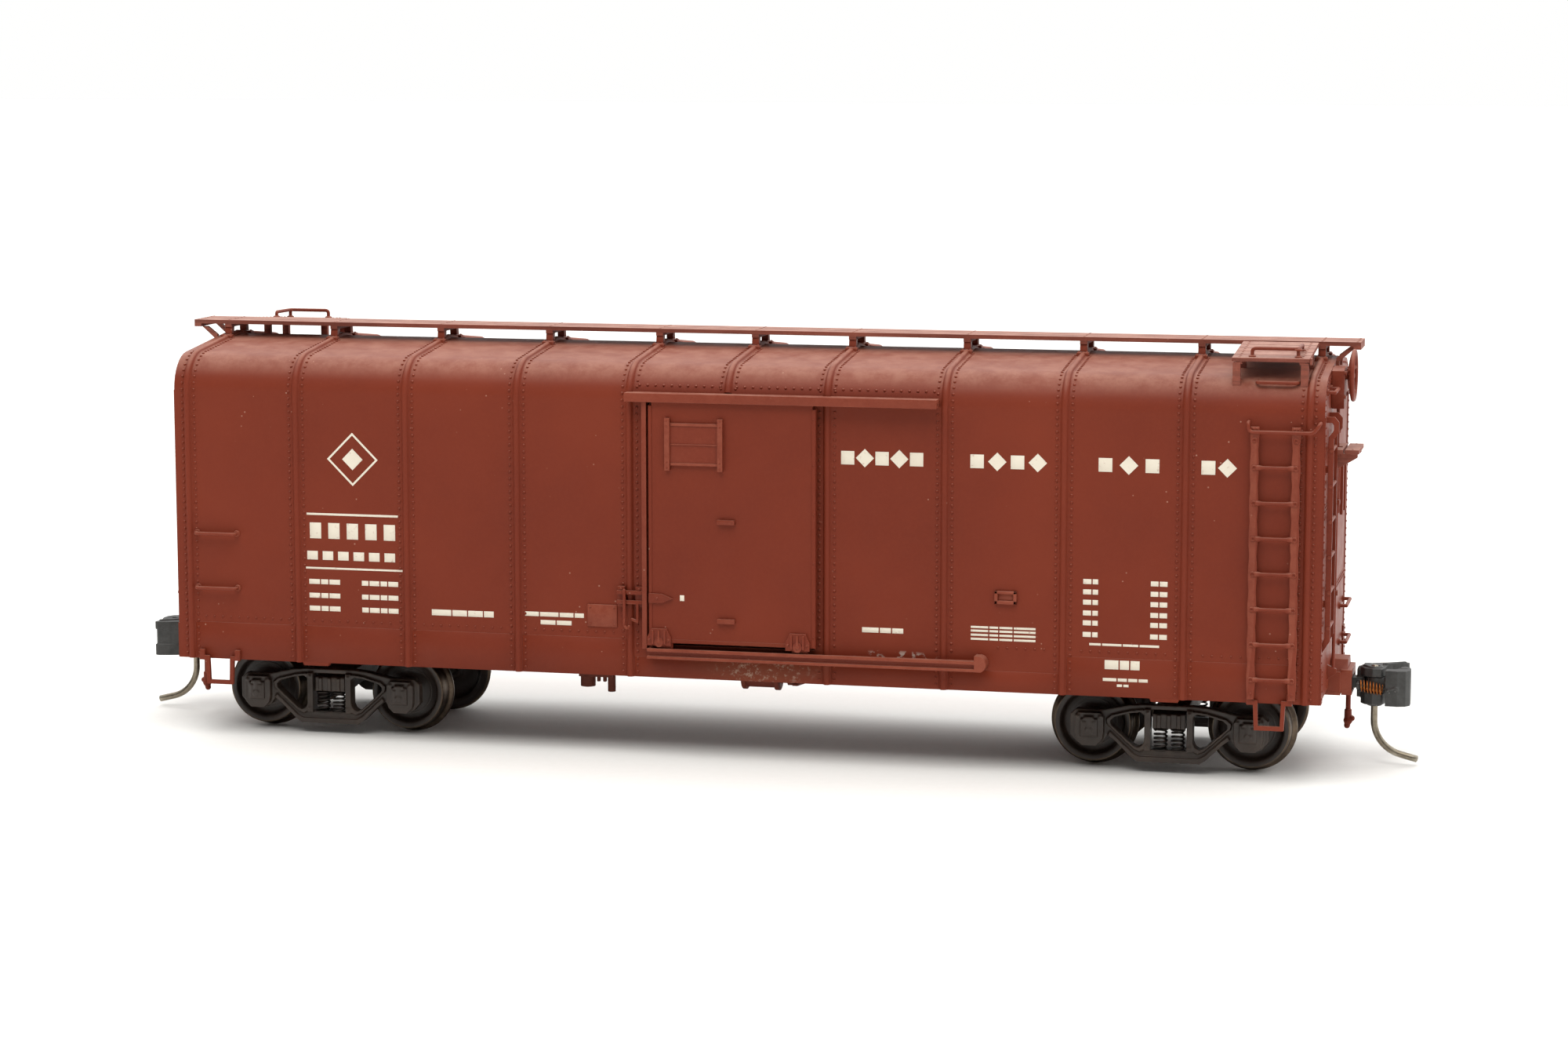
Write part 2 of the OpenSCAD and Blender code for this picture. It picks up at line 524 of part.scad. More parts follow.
module box_lid_screws() color(STEEL)
    both_ends() {
        difference() {
            zcyl(8.35, 8.85, coupler_px, 0, 1.15);
            bx([coupler_px - 1.5, -0.16, 8.2], [coupler_px + 1.5, 0.16, 8.55]);
        }
        zcyl(8.85, 12.2, coupler_px, 0, 0.6);
    }
module truck_screws() color(STEEL)
    both_ends() {
        difference() {
            zcyl(5.0, 5.6, truck_x, 0, 1.5);
            bx([truck_x - 1.8, -0.18, 4.8], [truck_x + 1.8, 0.18, 5.25]);
        }
        zcyl(5.6, 12.6, truck_x, 0, 0.72);
    }
module centring_springs() color(BRONZE)
    both_ends() {
        difference() {
            bx([coupler_px - 1.6, -2.2, 9.25], [71.2, 2.2, 9.36]);
            zcyl(9, 10, coupler_px, 0, 1.05);
        }
        for (s = [-1, 1]) bx([coupler_px + 1.6, s > 0 ? 2.08 : -2.2, 9.36], [71.2, s > 0 ? 2.2 : -2.08, 10.4]);
    }

kp_x = 77.4; kp_y = -0.9;        // pivot of the knuckle and of the trip pin
ks_y = -2.7;                     // axis of the knuckle spring
module coupler_half() {
    difference() {
        union() {
            // shank
            zrun(coupler_z - 0.65, coupler_z + 0.65) union() {
                translate([coupler_px, 0]) circle(r = 1.55);
                polygon([[coupler_px, -0.95], [73, -0.95], [73, 0.95], [coupler_px, 0.95]]);
                polygon([[73, -0.95], [76.2, -0.95], [76.2, 0.95], [73, 0.95]]);
            }
            // jaw: an upper and a lower plate over the knuckle's hub, joined by the spine
            for (z = [[7.6, 9.05], [11.05, 12.1]]) zrun(z[0], z[1])
                polygon([[75.7, -0.8], [76.2, -1.7], [77.2, -2.15], [78.3, -2.0], [78.6, -1.0], [78.75, 0.6], [79.4, 1.5],
                         [81.2, 2.9], [81.35, 3.4], [80.9, 3.6], [79.4, 3.3], [77.2, 2.4], [76.1, 1.6], [75.7, 0.8]]);
            zrun(7.6, 12.1) polygon([[75.7, -0.8], [76.15, -0.8], [76.15, 0.4], [78.3, 0.75], [79.0, 1.7], [81.0, 3.0],
                         [81.2, 3.3], [80.9, 3.5], [79.4, 3.2], [77.2, 2.4], [76.1, 1.6], [75.7, 0.8]]);
            // taper from the shank to the jaw
            zrun(8.3, 11.7) polygon([[75.2, -0.6], [76.1, -0.9], [76.1, 1.2], [75.2, 0.6]]);
            // peg for the knuckle spring
            xcyl(75.6, 76.0, ks_y, 10.0, 0.24);
            bx([75.3, -3.0, 9.6], [75.65, -0.6, 10.4]);
        }
        zcyl(8, 12, coupler_px, 0, 1.03);
        zcyl(7, 13, kp_x, kp_y, 0.5);
    }
}
module knuckle_half() {
    difference() {
        union() {
            zcyl(9.12, 10.98, kp_x, kp_y, 1.05);
            // arm along the outside of the jaw
            zrun(9.12, 10.98) polygon([[77.4, -1.85], [78.6, -1.85], [78.9, -2.1], [78.9, -0.2], [77.9, -0.1], [77.4, 0.1]]);
            // hook
            zrun(7.6, 12.0) polygon([[78.75, -2.6], [80.2, -2.75], [81.2, -2.45], [81.7, -1.7], [81.75, -0.4], [81.5, 0.6], [80.9, 0.95],
                         [80.45, 0.6], [80.5, -0.2], [80.3, -0.85], [79.7, -1.15], [79.0, -1.1], [78.75, -1.2]]);
        }
        zcyl(7, 13, kp_x, kp_y, trip_d / 2);
    }
}
// trip pin: straight through the knuckle's hub, then curved forward over the track
function pin_pt(i, o) = let (br = 4.3, a = 76 * i / 10) [kp_x + br - (br + o) * cos(a), 5.6 - (br + o) * sin(a)];
module trip_pin() {
    r = trip_d / 2; w = r * 0.9; ex = sin(76); ez = cos(76);
    zcyl(5.5, 12.2, kp_x, kp_y, r);
    yrun(kp_y - w, kp_y + w) polygon(concat([[kp_x - w, 6.0]], [for (i = [0:10]) pin_pt(i, w)],
        [pin_pt(10, w) + [2.2 * ex, -2.2 * ez], pin_pt(10, -w) + [2.2 * ex, -2.2 * ez]], [for (i = [10:-1:0]) pin_pt(i, -w)], [[kp_x + w, 6.0]]));
}
// the spring's outer shape: a plain closed cylinder
module knuckle_spring() { xcyl(76.02, 78.05, ks_y, 10.0, 0.5); }

module coupler_brake_end() color(GREY) coupler_half();
module knuckle_brake_end() color(GREY) knuckle_half();
module trip_pin_brake_end() color(STEEL) trip_pin();
module knuckle_spring_brake_end() color(BRONZE) knuckle_spring();
module coupler_plain_end() color(GREY) rotate([0, 0, 180]) coupler_half();
module knuckle_plain_end() color(GREY) rotate([0, 0, 180]) knuckle_half();
module trip_pin_plain_end() color(STEEL) rotate([0, 0, 180]) trip_pin();
module knuckle_spring_plain_end() color(BRONZE) rotate([0, 0, 180]) knuckle_spring();

// air hose: a held hose that hangs from the angle cock beside the coupler box
module air_hose() {
    x = 73.85; y = 4.15;
    bx([hx - 2.2, y - 0.4, 10.5], [x + 0.5, y + 0.4, 11.15]);
    zcyl(5.4, 10.8, x, y, 0.32);
    zcyl(4.7, 5.5, x, y, 0.46);
    zcyl(5.55, 5.8, x, y, 0.46);
    translate([x, y, 4.4]) sphere(r = 0.56);
    iron([x, y, 4.4], [x + 0.5, y - 0.1, 4.7], 0.36);
    iron([x, y, 4.4], [x - 0.1, y, 3.75], 0.38);
}
module air_hoses() color(PAINT) both_ends() air_hose();

// ---------- trucks ----------
hb = wheelbase / 2;
// one cast side frame, standing in the XZ plane
function both_x(p) = concat(p, [for (i = [len(p) - 1:-1:0]) [-p[i][0], p[i][1]]]);
// opening in the truss on side s, grown by k about its middle
module truss_window(s, k = 1) polygon([for (p = [[2.95, 7.1], [3.4, 7.45], [4.6, 7.3], [6.6, 6.75], [7.1, 6.3],
    [7.0, 5.8], [4.3, 3.35], [3.7, 3.1], [3.2, 3.4], [2.95, 4.0]]) [s * (4.7 + (p[0] - 4.7) * k), 5.6 + (p[1] - 5.6) * k]]);
module frame_outline() difference() {
    polygon(both_x([[3.8, 1.4], [4.4, 1.75], [6.6, 3.9], [7.4, 4.5], [8.0, 3.6], [8.8, 3.1], [10.4, 3.1], [11.2, 3.45], [12.0, 4.4],
                    [12.0, 6.9], [11.3, 7.5], [8.2, 7.5], [5.0, 8.2], [3.2, 8.35]]));
    // truss openings either side of the bolster, and the spring window
    for (s = [-1, 1]) truss_window(s);
    polygon([[-2.2, 7.8], [2.2, 7.8], [2.2, 2.85], [-2.2, 2.85]]);
}
module sideframe() {
    difference() {
        union() {
            yrun(-12.25, -10.95) frame_outline();
            // raised rims round the openings, along the top and along the bottom
            yrun(-12.6, -12.25) for (s = [-1, 1]) difference() { truss_window(s, 1.2); truss_window(s); }
            yrun(-12.6, -12.25) polygon([[-3.8, 1.4], [3.8, 1.4], [4.4, 1.75], [6.6, 3.9], [7.4, 4.5], [7.1, 4.95], [4.2, 2.3], [3.5, 2.0], [-3.5, 2.0], [-4.2, 2.3], [-7.1, 4.95], [-7.4, 4.5], [-6.6, 3.9], [-4.4, 1.75]]);
            // journal boxes with lids
            for (s = [-1, 1]) {
                yrun(-13.0, -10.95) translate([s * hb, 5.3]) polygon(both_x([[0.9, -2.1], [1.6, -1.4], [1.75, -0.6], [1.75, 1.4], [1.35, 1.95]]));
                bx([s * hb - 1.05, -13.35, 4.35], [s * hb + 1.05, -13.0, 6.5]);
                xcyl(s * hb - 0.6, s * hb + 0.6, -13.25, 6.6, 0.26);
                ycyl(-13.6, -13.3, s * hb, 5.1, 0.38);
            }
            // spring plank seat and column guides
            bx([-2.6, -12.25, 2.05], [2.6, -9.6, 2.85]);
            for (s = [-1, 1]) bx([s > 0 ? 2.2 : -2.9, -12.7, 2.8], [s > 0 ? 2.9 : -2.2, -10.95, 7.9]);
        }
        // bearings for the axle points
        for (s = [-1, 1]) translate([s * hb, -10.5, axle_z]) rotate([90, 0, 0]) {
            cylinder(r1 = 1.27, r2 = 0.27, h = 2.35);
        }
    }
}
module sideframes(x) color(BLACK) translate([x, 0, 0]) { sideframe(); rotate([0, 0, 180]) sideframe(); }
module truck_bolster(x) color(BLACK) translate([x, 0, 0])
    difference() {
        union() {
            xrun(-2.0, 2.0) polygon([[-12.35, 7.3], [-12.35, 5.5], [-9.4, 5.3], [-4, 5.9], [4, 5.9], [9.4, 5.3], [12.35, 5.5], [12.35, 7.3],
                     [9.5, 7.75], [3, 8.05], [-3, 8.05], [-9.5, 7.75]]);
            zcyl(8.0, 8.37, 0, 0, 2.2);
            // ribs on the bolster's ends
            for (s = [-1, 1], d = [-1.2, 0, 1.2]) bx([d - 0.2, s > 0 ? 12.3 : -12.6, 5.6], [d + 0.2, s > 0 ? 12.6 : -12.3, 7.2]);
        }
        zcyl(4, 9, 0, 0, 0.8);
        zcyl(4, 5.95, 0, 0, 1.7);
    }
module truck_springs(x) color(BLACK) translate([x, 0, 0])
    for (s = [-1, 1], d = [-1.05, 1.05]) zcyl(2.85, 5.42, d, s * 11.7, 0.92);
module truck_brake_end_sideframes() sideframes(truck_x);
module truck_brake_end_bolster() truck_bolster(truck_x);
module truck_brake_end_springs() truck_springs(truck_x);
module truck_plain_end_sideframes() sideframes(-truck_x);
module truck_plain_end_bolster() truck_bolster(-truck_x);
module truck_plain_end_springs() truck_springs(-truck_x);

// ---------- wheelsets ----------
// wheel section: 2D is (radius, distance along the axle from the back of the wheel)
module wheel_section() polygon([[0, 0.45], [1.25, 0.45], [1.5, 0.9], [3.6, 0.75], [4.1, 0.0], [flange_r - 0.25, 0.0], [flange_r, 0.28],
    [flange_r, 0.42], [flange_r - 0.2, 0.62], [tread_r + 0.06, 0.8], [tread_r - 0.06, wheel_w], [4.0, wheel_w], [3.75, 1.7], [1.7, 2.0], [1.45, wheel_w - 0.1], [0, wheel_w - 0.1]]);
module wheelset(x) color(STEEL) translate([x, 0, axle_z]) {
    for (s = [-1, 1]) rotate([s * -90, 0, 0]) {
        translate([0, 0, back_to_back / 2]) rotate_extrude($fn = 96) wheel_section();
        cylinder(r = 0.95, h = 10.55);
        translate([0, 0, 10.55]) cylinder(r1 = 0.95, r2 = 0.18, h = 2.0);
    }
}
module wheelset_1() wheelset(-truck_x - hb);
module wheelset_2() wheelset(-truck_x + hb);
module wheelset_3() wheelset(truck_x - hb);
module wheelset_4() wheelset(truck_x + hb);

body_shell();
end_panel_brake_end();
end_panel_plain_end();
floor_plate();
underframe();
steel_weight();
roof_walk();
roof_walk_saddles();
lateral_walk_right();
lateral_walk_left();
roof_grab_irons();
side_ladders();
end_ladders();
side_grab_irons();
end_grab_irons();
stirrup_steps();
upper_door_tracks();
lower_door_tracks();
door_stops();
door_latches();
card_plates();
end_placard_boards();
brake_housing();
brake_wheel();
brake_platform();
brake_rod();
brake_cylinder();
air_reservoir();
control_valve();
brake_levers();
train_line();
coupler_boxes();
coupler_box_lids();
box_lid_screws();
truck_screws();
centring_springs();
air_hoses();
door_right();
door_right_fittings();
door_left();
door_left_fittings();
truck_brake_end_sideframes();
truck_brake_end_bolster();
truck_brake_end_springs();
truck_plain_end_sideframes();
truck_plain_end_bolster();
truck_plain_end_springs();
wheelset_1();
wheelset_2();
wheelset_3();
wheelset_4();
coupler_brake_end();
knuckle_brake_end();
trip_pin_brake_end();
knuckle_spring_brake_end();
coupler_plain_end();
knuckle_plain_end();
trip_pin_plain_end();
knuckle_spring_plain_end();
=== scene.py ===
import math
import random

import bmesh
import bpy
from mathutils import Matrix, Vector


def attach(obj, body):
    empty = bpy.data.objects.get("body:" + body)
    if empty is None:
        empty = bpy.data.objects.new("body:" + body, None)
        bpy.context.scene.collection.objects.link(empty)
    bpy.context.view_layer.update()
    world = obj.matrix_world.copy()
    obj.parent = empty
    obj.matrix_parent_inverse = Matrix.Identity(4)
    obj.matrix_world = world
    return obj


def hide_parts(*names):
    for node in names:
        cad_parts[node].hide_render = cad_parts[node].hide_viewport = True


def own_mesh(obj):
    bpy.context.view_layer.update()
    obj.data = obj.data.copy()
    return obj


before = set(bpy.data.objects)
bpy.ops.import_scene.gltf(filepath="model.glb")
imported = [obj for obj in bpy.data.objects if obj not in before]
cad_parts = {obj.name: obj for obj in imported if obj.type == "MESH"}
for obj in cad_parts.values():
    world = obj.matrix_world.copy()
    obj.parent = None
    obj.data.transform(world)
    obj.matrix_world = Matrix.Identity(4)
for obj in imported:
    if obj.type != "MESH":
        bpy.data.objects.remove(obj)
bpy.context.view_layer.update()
MM = 0.001
rnd = random.Random(11)
pi, sin, cos, tan, rad = math.pi, math.sin, math.cos, math.tan, math.radians

# ------------------------------------------------------------------ sizes, in mm, as in the CAD
HX, SX = 72.05, 71.45            # end sheet face, end of the shell
HALF, SILL, EAVE, ER = 17.05, 10.05, 44.2, 4.5
ROOF_A = rad(6)
WALL = 0.9
RIB_R = 0.42
RIBS = [-70.34, -55.86, -41.38, -26.9, -12.42, 12.42, 26.9, 41.38, 55.86, 70.34]
ARC_Y = HALF - ER
ARC = pi / 2 - ROOF_A
RIDGE = EAVE + ER * sin(ARC) + (ARC_Y + ER * cos(ARC)) * tan(ROOF_A)
DOOR_IN = HALF + RIB_R + 0.26
DOOR_OUT = DOOR_IN + 0.6
TRUCK_X, HB, AXLE_Z = 53.7, 9.625, 5.45


# ------------------------------------------------------------------ mesh building
class M:
    """Verts in mm, faces, and a material index for each face."""

    def __init__(self):
        self.v, self.f, self.mi = [], [], []

    def add(self, verts, faces, mi=0):
        o = len(self.v)
        self.v += [tuple(p) for p in verts]
        self.f += [tuple(i + o for i in f) for f in faces]
        self.mi += [mi] * len(faces)

    def turned(self):
        """The same shape at half a turn about Z, added to this one."""
        o = len(self.v)
        v = list(self.v)
        self.v += [(-x, -y, z) for x, y, z in v]
        self.f += [tuple(i + o for i in f) for f in list(self.f)]
        self.mi += list(self.mi)
        return self

    def half_turn(self):
        self.v = [(-x, -y, z) for x, y, z in self.v]
        return self


def finish_bm(bm, angle):
    bmesh.ops.recalc_face_normals(bm, faces=bm.faces)
    lim = rad(angle)
    for f in bm.faces:
        f.smooth = True
    for e in bm.edges:
        if len(e.link_faces) != 2 or e.calc_face_angle(0) > lim:
            e.smooth = False


def place(name, me, mats, body, replaces=(), weighted=True):
    ob = bpy.data.objects.new(name, me)
    bpy.context.scene.collection.objects.link(ob)
    for m in mats if isinstance(mats, (list, tuple)) else [mats]:
        me.materials.append(m)
    if weighted:
        w = ob.modifiers.new("normals", "WEIGHTED_NORMAL")
        w.keep_sharp = True
        w.weight = 80
    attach(ob, body)
    if replaces:
        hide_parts(*replaces)
    return ob


def piece(m, name, mats, body, replaces=(), angle=38, weighted=False):
    me = bpy.data.meshes.new(name)
    me.from_pydata([(x * MM, y * MM, z * MM) for x, y, z in m.v], [], m.f)
    me.polygons.foreach_set("material_index", m.mi)
    bm = bmesh.new()
    bm.from_mesh(me)
    finish_bm(bm, angle)
    bm.to_mesh(me)
    bm.free()
    return place(name, me, mats, body, replaces, weighted)


def bm_of(v, f, scale=MM):
    me = bpy.data.meshes.new("tmp")
    me.from_pydata([(x * scale, y * scale, z * scale) for x, y, z in v], [], f)
    bm = bmesh.new()
    bm.from_mesh(me)
    bpy.data.meshes.remove(me)
    return bm


def join_extra(bm, extra, angle=38):
    if extra is None or not extra.v:
        return
    b2 = bm_of(extra.v, extra.f)
    finish_bm(b2, angle)
    me = bpy.data.meshes.new("tmp")
    b2.to_mesh(me)
    b2.free()
    bm.from_mesh(me)
    bpy.data.meshes.remove(me)


def refine(node, body, mat, bevel=0.06, segments=2, angle=30, extra=None):
    """The CAD node with its edges rounded as moulded or cast edges are, and smooth round faces."""
    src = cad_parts[node].data
    bm = bmesh.new()
    bm.from_mesh(src)
    bmesh.ops.remove_doubles(bm, verts=bm.verts, dist=2e-6)
    plain = bm
    vol, area = abs(bm.calc_volume()), sum(f.calc_area() for f in bm.faces)
    opened = sum(1 for e in bm.edges if len(e.link_faces) != 2)
    for width in (bevel, bevel * 0.6, bevel * 0.35):
        if not width:
            break
        bm = plain.copy()
        off = width * MM
        lim = rad(angle)
        chosen = []
        for e in bm.edges:
            if len(e.link_faces) != 2 or e.calc_length() < 2.3 * off:
                continue
            if e.calc_face_angle(0) <= lim:
                continue
            near = [x.calc_length() for v in e.verts for x in v.link_edges if x is not e and x.calc_face_angle(0) > 0.02]
            if near and min(near) < 1.15 * off:
                continue
            chosen.append(e)
        if chosen:
            bmesh.ops.bevel(bm, geom=chosen, offset=off, offset_type="OFFSET", segments=segments,
                            profile=0.6, affect="EDGES", clamp_overlap=True, loop_slide=True)
        v2, a2 = abs(bm.calc_volume()), sum(f.calc_area() for f in bm.faces)
        still = sum(1 for e in bm.edges if len(e.link_faces) != 2)
        if 0.9 < v2 / max(vol, 1e-15) < 1.02 and 0.88 < a2 / area < 1.03 and still <= opened:
            break
        bm.free()
        bm = plain
    if bm is not plain:
        plain.free()
    finish_bm(bm, 36)
    join_extra(bm, extra)
    me = bpy.data.meshes.new(node + "_v")
    bm.to_mesh(me)
    bm.free()
    return place(node + "_v", me, mat, body, (node,))


def soften(node, body, mat, voxel=0.09, rounds=3, extra=None, after=None):
    """A casting: the CAD node (and what is added to it) melted into one skin with soft edges and fillets."""
    bm = bmesh.new()
    bm.from_mesh(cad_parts[node].data)
    bmesh.ops.remove_doubles(bm, verts=bm.verts, dist=2e-6)
    join_extra(bm, extra)
    for v in bm.verts:
        v.co *= 1000
    me = bpy.data.meshes.new("tmp")
    bm.to_mesh(me)
    bm.free()
    ob = bpy.data.objects.new("tmp_soft", me)
    bpy.context.scene.collection.objects.link(ob)
    r = ob.modifiers.new("skin", "REMESH")
    r.mode = "VOXEL"
    r.voxel_size = voxel
    sm = ob.modifiers.new("soft", "SMOOTH")
    sm.factor, sm.iterations = 0.5, rounds
    dg = bpy.context.evaluated_depsgraph_get()
    out = bpy.data.meshes.new_from_object(ob.evaluated_get(dg))
    bpy.data.objects.remove(ob)
    bpy.data.meshes.remove(me)
    bm = bmesh.new()
    bm.from_mesh(out)
    bpy.data.meshes.remove(out)
    for v in bm.verts:
        v.co *= MM
    bmesh.ops.recalc_face_normals(bm, faces=bm.faces)
    for f in bm.faces:
        f.smooth = True
    join_extra(bm, after)
    me = bpy.data.meshes.new(node + "_v")
    bm.to_mesh(me)
    bm.free()
    me.materials.clear()
    return place(node + "_v", me, mat, body, (node,), False)


# ------------------------------------------------------------------ shapes
def cbox(m, a, b, c=0.05, mi=0):
    """Box from a to b with its edges cut back by c."""
    c = min(c, *[abs(b[k] - a[k]) * 0.45 for k in range(3)])
    idx, vs = {}, []
    for sx in (0, 1):
        for sy in (0, 1):
            for sz in (0, 1):
                s = (sx, sy, sz)
                p = [b[k] if s[k] else a[k] for k in range(3)]
                for ax in range(3):
                    q = [p[k] if k == ax else p[k] + (-c if s[k] else c) for k in range(3)]
                    idx[s + (ax,)] = len(vs)
                    vs.append(q)
    fs = []
    for ax in range(3):
        o = [k for k in range(3) if k != ax]
        for s in (0, 1):
            loop = []
            for u, w in ((0, 0), (1, 0), (1, 1), (0, 1)):
                t = [0, 0, 0]
                t[ax], t[o[0]], t[o[1]] = s, u, w
                loop.append(idx[tuple(t) + (ax,)])
            fs.append(loop)
    for ax in range(3):
        o = [k for k in range(3) if k != ax]
        for u in (0, 1):
            for w in (0, 1):
                t0, t1 = [0, 0, 0], [0, 0, 0]
                t0[ax], t0[o[0]], t0[o[1]] = 0, u, w
                t1[ax], t1[o[0]], t1[o[1]] = 1, u, w
                fs.append([idx[tuple(t0) + (o[0],)], idx[tuple(t1) + (o[0],)], idx[tuple(t1) + (o[1],)], idx[tuple(t0) + (o[1],)]])
    for sx in (0, 1):
        for sy in (0, 1):
            for sz in (0, 1):
                fs.append([idx[(sx, sy, sz, k)] for k in range(3)])
    m.add(vs, fs, mi)


def frames(pts):
    """Parallel-transport frames along a line of points."""
    pts = [Vector(p) for p in pts]
    tang = []
    for i in range(len(pts)):
        a = pts[max(i - 1, 0)]
        b = pts[min(i + 1, len(pts) - 1)]
        tang.append((b - a).normalized())
    n = tang[0].orthogonal().normalized()
    out = []
    for i, t in enumerate(tang):
        if i:
            n = (n - t * n.dot(t)).normalized()
        out.append((pts[i], t, n, t.cross(n)))
    return out


def tube(m, pts, r, seg=12, mi=0, cap=0.5):
    """Round bar along pts; r is a number or one number a point. The ends are rounded off."""
    fr = frames(pts)
    rs = r if isinstance(r, (list, tuple)) else [r] * len(fr)
    rings = []
    vs = []

    def ring(p, n, b, rr):
        o = len(vs)
        for k in range(seg):
            a = 2 * pi * k / seg
            vs.append(p + n * (rr * cos(a)) + b * (rr * sin(a)))
        rings.append(o)

    p, t, n, b = fr[0]
    if cap:
        ring(p - t * (rs[0] * cap), n, b, rs[0] * 0.45)
        ring(p - t * (rs[0] * cap * 0.55), n, b, rs[0] * 0.82)
    for (p, t, n, b), rr in zip(fr, rs):
        ring(p, n, b, rr)
    p, t, n, b = fr[-1]
    if cap:
        ring(p + t * (rs[-1] * cap * 0.55), n, b, rs[-1] * 0.82)
        ring(p + t * (rs[-1] * cap), n, b, rs[-1] * 0.45)
    fs = []
    for a, c in zip(rings, rings[1:]):
        for k in range(seg):
            j = (k + 1) % seg
            fs.append((a + k, a + j, c + j, c + k))
    fs.append(tuple(rings[0] + k for k in range(seg)))
    fs.append(tuple(rings[-1] + k for k in range(seg)))
    m.add(vs, fs, mi)


def bent(pts, r, n=5):
    """A line of points with its inner corners rounded to radius r."""
    pts = [Vector(p) for p in pts]
    out = [pts[0]]
    for a, p, b in zip(pts, pts[1:], pts[2:]):
        u, w = (a - p), (b - p)
        d = min(r, u.length * 0.45, w.length * 0.45)
        s, e = p + u.normalized() * d, p + w.normalized() * d
        for i in range(n + 1):
            t = i / n
            out.append(s * (1 - t) ** 2 + p * (2 * t * (1 - t)) + e * t * t)
    out.append(pts[-1])
    return out


def lathe(m, prof, origin, axis, seg=64, mi=0, closed=False, mis=None):
    """prof is (radius, height) pairs from the axis round to the axis."""
    axis = Vector(axis).normalized()
    n = axis.orthogonal().normalized()
    b = axis.cross(n)
    o = Vector(origin)
    vs, fs, ms = [], [], []
    rows = []
    for r, h in prof:
        if r < 1e-6:
            rows.append([len(vs)])
            vs.append(o + axis * h)
        else:
            rows.append(list(range(len(vs), len(vs) + seg)))
            for k in range(seg):
                a = 2 * pi * k / seg
                vs.append(o + axis * h + n * (r * cos(a)) + b * (r * sin(a)))
    pairs = list(zip(rows, rows[1:]))
    if closed:
        pairs.append((rows[-1], rows[0]))
    for q, (r0, r1) in enumerate(pairs):
        mm = mis[q] if mis else mi
        for k in range(seg):
            j = (k + 1) % seg
            if len(r0) == 1 and len(r1) == 1:
                continue
            if len(r0) == 1:
                fs.append((r0[0], r1[j], r1[k]))
            elif len(r1) == 1:
                fs.append((r0[k], r0[j], r1[0]))
            else:
                fs.append((r0[k], r0[j], r1[j], r1[k]))
            ms.append(mm)
    off = len(m.v)
    m.v += [tuple(p) for p in vs]
    m.f += [tuple(i + off for i in f) for f in fs]
    m.mi += ms


def rivet(m, p, n, r=0.15, h=0.1, seg=8, mi=0):
    n = Vector(n).normalized()
    t = n.orthogonal().normalized()
    b = n.cross(t)
    p = Vector(p)
    vs = []
    for rr, hh in ((r, -0.04), (r, h * 0.35), (r * 0.66, h * 0.85)):
        for k in range(seg):
            a = 2 * pi * k / seg
            vs.append(p + n * hh + t * (rr * cos(a)) + b * (rr * sin(a)))
    vs.append(p + n * h)
    fs = [tuple(range(seg))]
    for q in (0, 1):
        for k in range(seg):
            j = (k + 1) % seg
            fs.append((q * seg + k, q * seg + j, (q + 1) * seg + j, (q + 1) * seg + k))
    for k in range(seg):
        fs.append((2 * seg + k, 2 * seg + (k + 1) % seg, 3 * seg))
    m.add(vs, fs, mi)


def hexbolt(m, p, n, r=0.26, h=0.16, mi=0):
    """A square-shouldered bolt head with a domed top."""
    rivet(m, p, n, r, h * 0.5, 6, mi)
    rivet(m, Vector(p) + Vector(n).normalized() * h * 0.35, n, r * 0.62, h * 0.8, 8, mi)


def slab(m, outline, axis, a, b, c=0.05, mi=0):
    """A 2D outline (counter-clockwise, convex or not) extruded along axis from a to b, with its rim cut back by c.
    axis 1 takes outline points as (x, z), axis 0 as (y, z), axis 2 as (x, y)."""
    n = len(outline)
    area = sum(outline[i][0] * outline[(i + 1) % n][1] - outline[(i + 1) % n][0] * outline[i][1] for i in range(n))
    pts = outline if area > 0 else outline[::-1]

    def inset(d):
        res = []
        for i in range(n):
            p0, p1, p2 = Vector(pts[i - 1]), Vector(pts[i]), Vector(pts[(i + 1) % n])
            e0, e1 = (p1 - p0).normalized(), (p2 - p1).normalized()
            n0, n1 = Vector((-e0.y, e0.x)), Vector((-e1.y, e1.x))
            k = n0 + n1
            q = k / max(k.length_squared, 0.25) * 2 * d if k.length > 1e-6 else n0 * d
            res.append(p1 + q)
        return res

    def lift(p, t):
        return {0: (t, p[0], p[1]), 1: (p[0], t, p[1]), 2: (p[0], p[1], t)}[axis]

    ins = inset(c)
    vs = [lift(p, a) for p in ins] + [lift(p, a + c) for p in pts] + [lift(p, b - c) for p in pts] + [lift(p, b) for p in ins]
    fs = [tuple(range(n)), tuple(range(3 * n, 4 * n))]
    for q in range(3):
        for i in range(n):
            j = (i + 1) % n
            fs.append((q * n + i, q * n + j, (q + 1) * n + j, (q + 1) * n + i))
    m.add(vs, fs, mi)


# ------------------------------------------------------------------ materials
def nodes_of(name):
    mat = bpy.data.materials.new(name)
    mat.use_nodes = True
    nt = mat.node_tree
    nt.nodes.clear()
    out = nt.nodes.new("ShaderNodeOutputMaterial")
    bsdf = nt.nodes.new("ShaderNodeBsdfPrincipled")
    nt.links.new(bsdf.outputs[0], out.inputs[0])
    tc = nt.nodes.new("ShaderNodeTexCoord")
    return mat, nt, bsdf, tc.outputs["Object"]


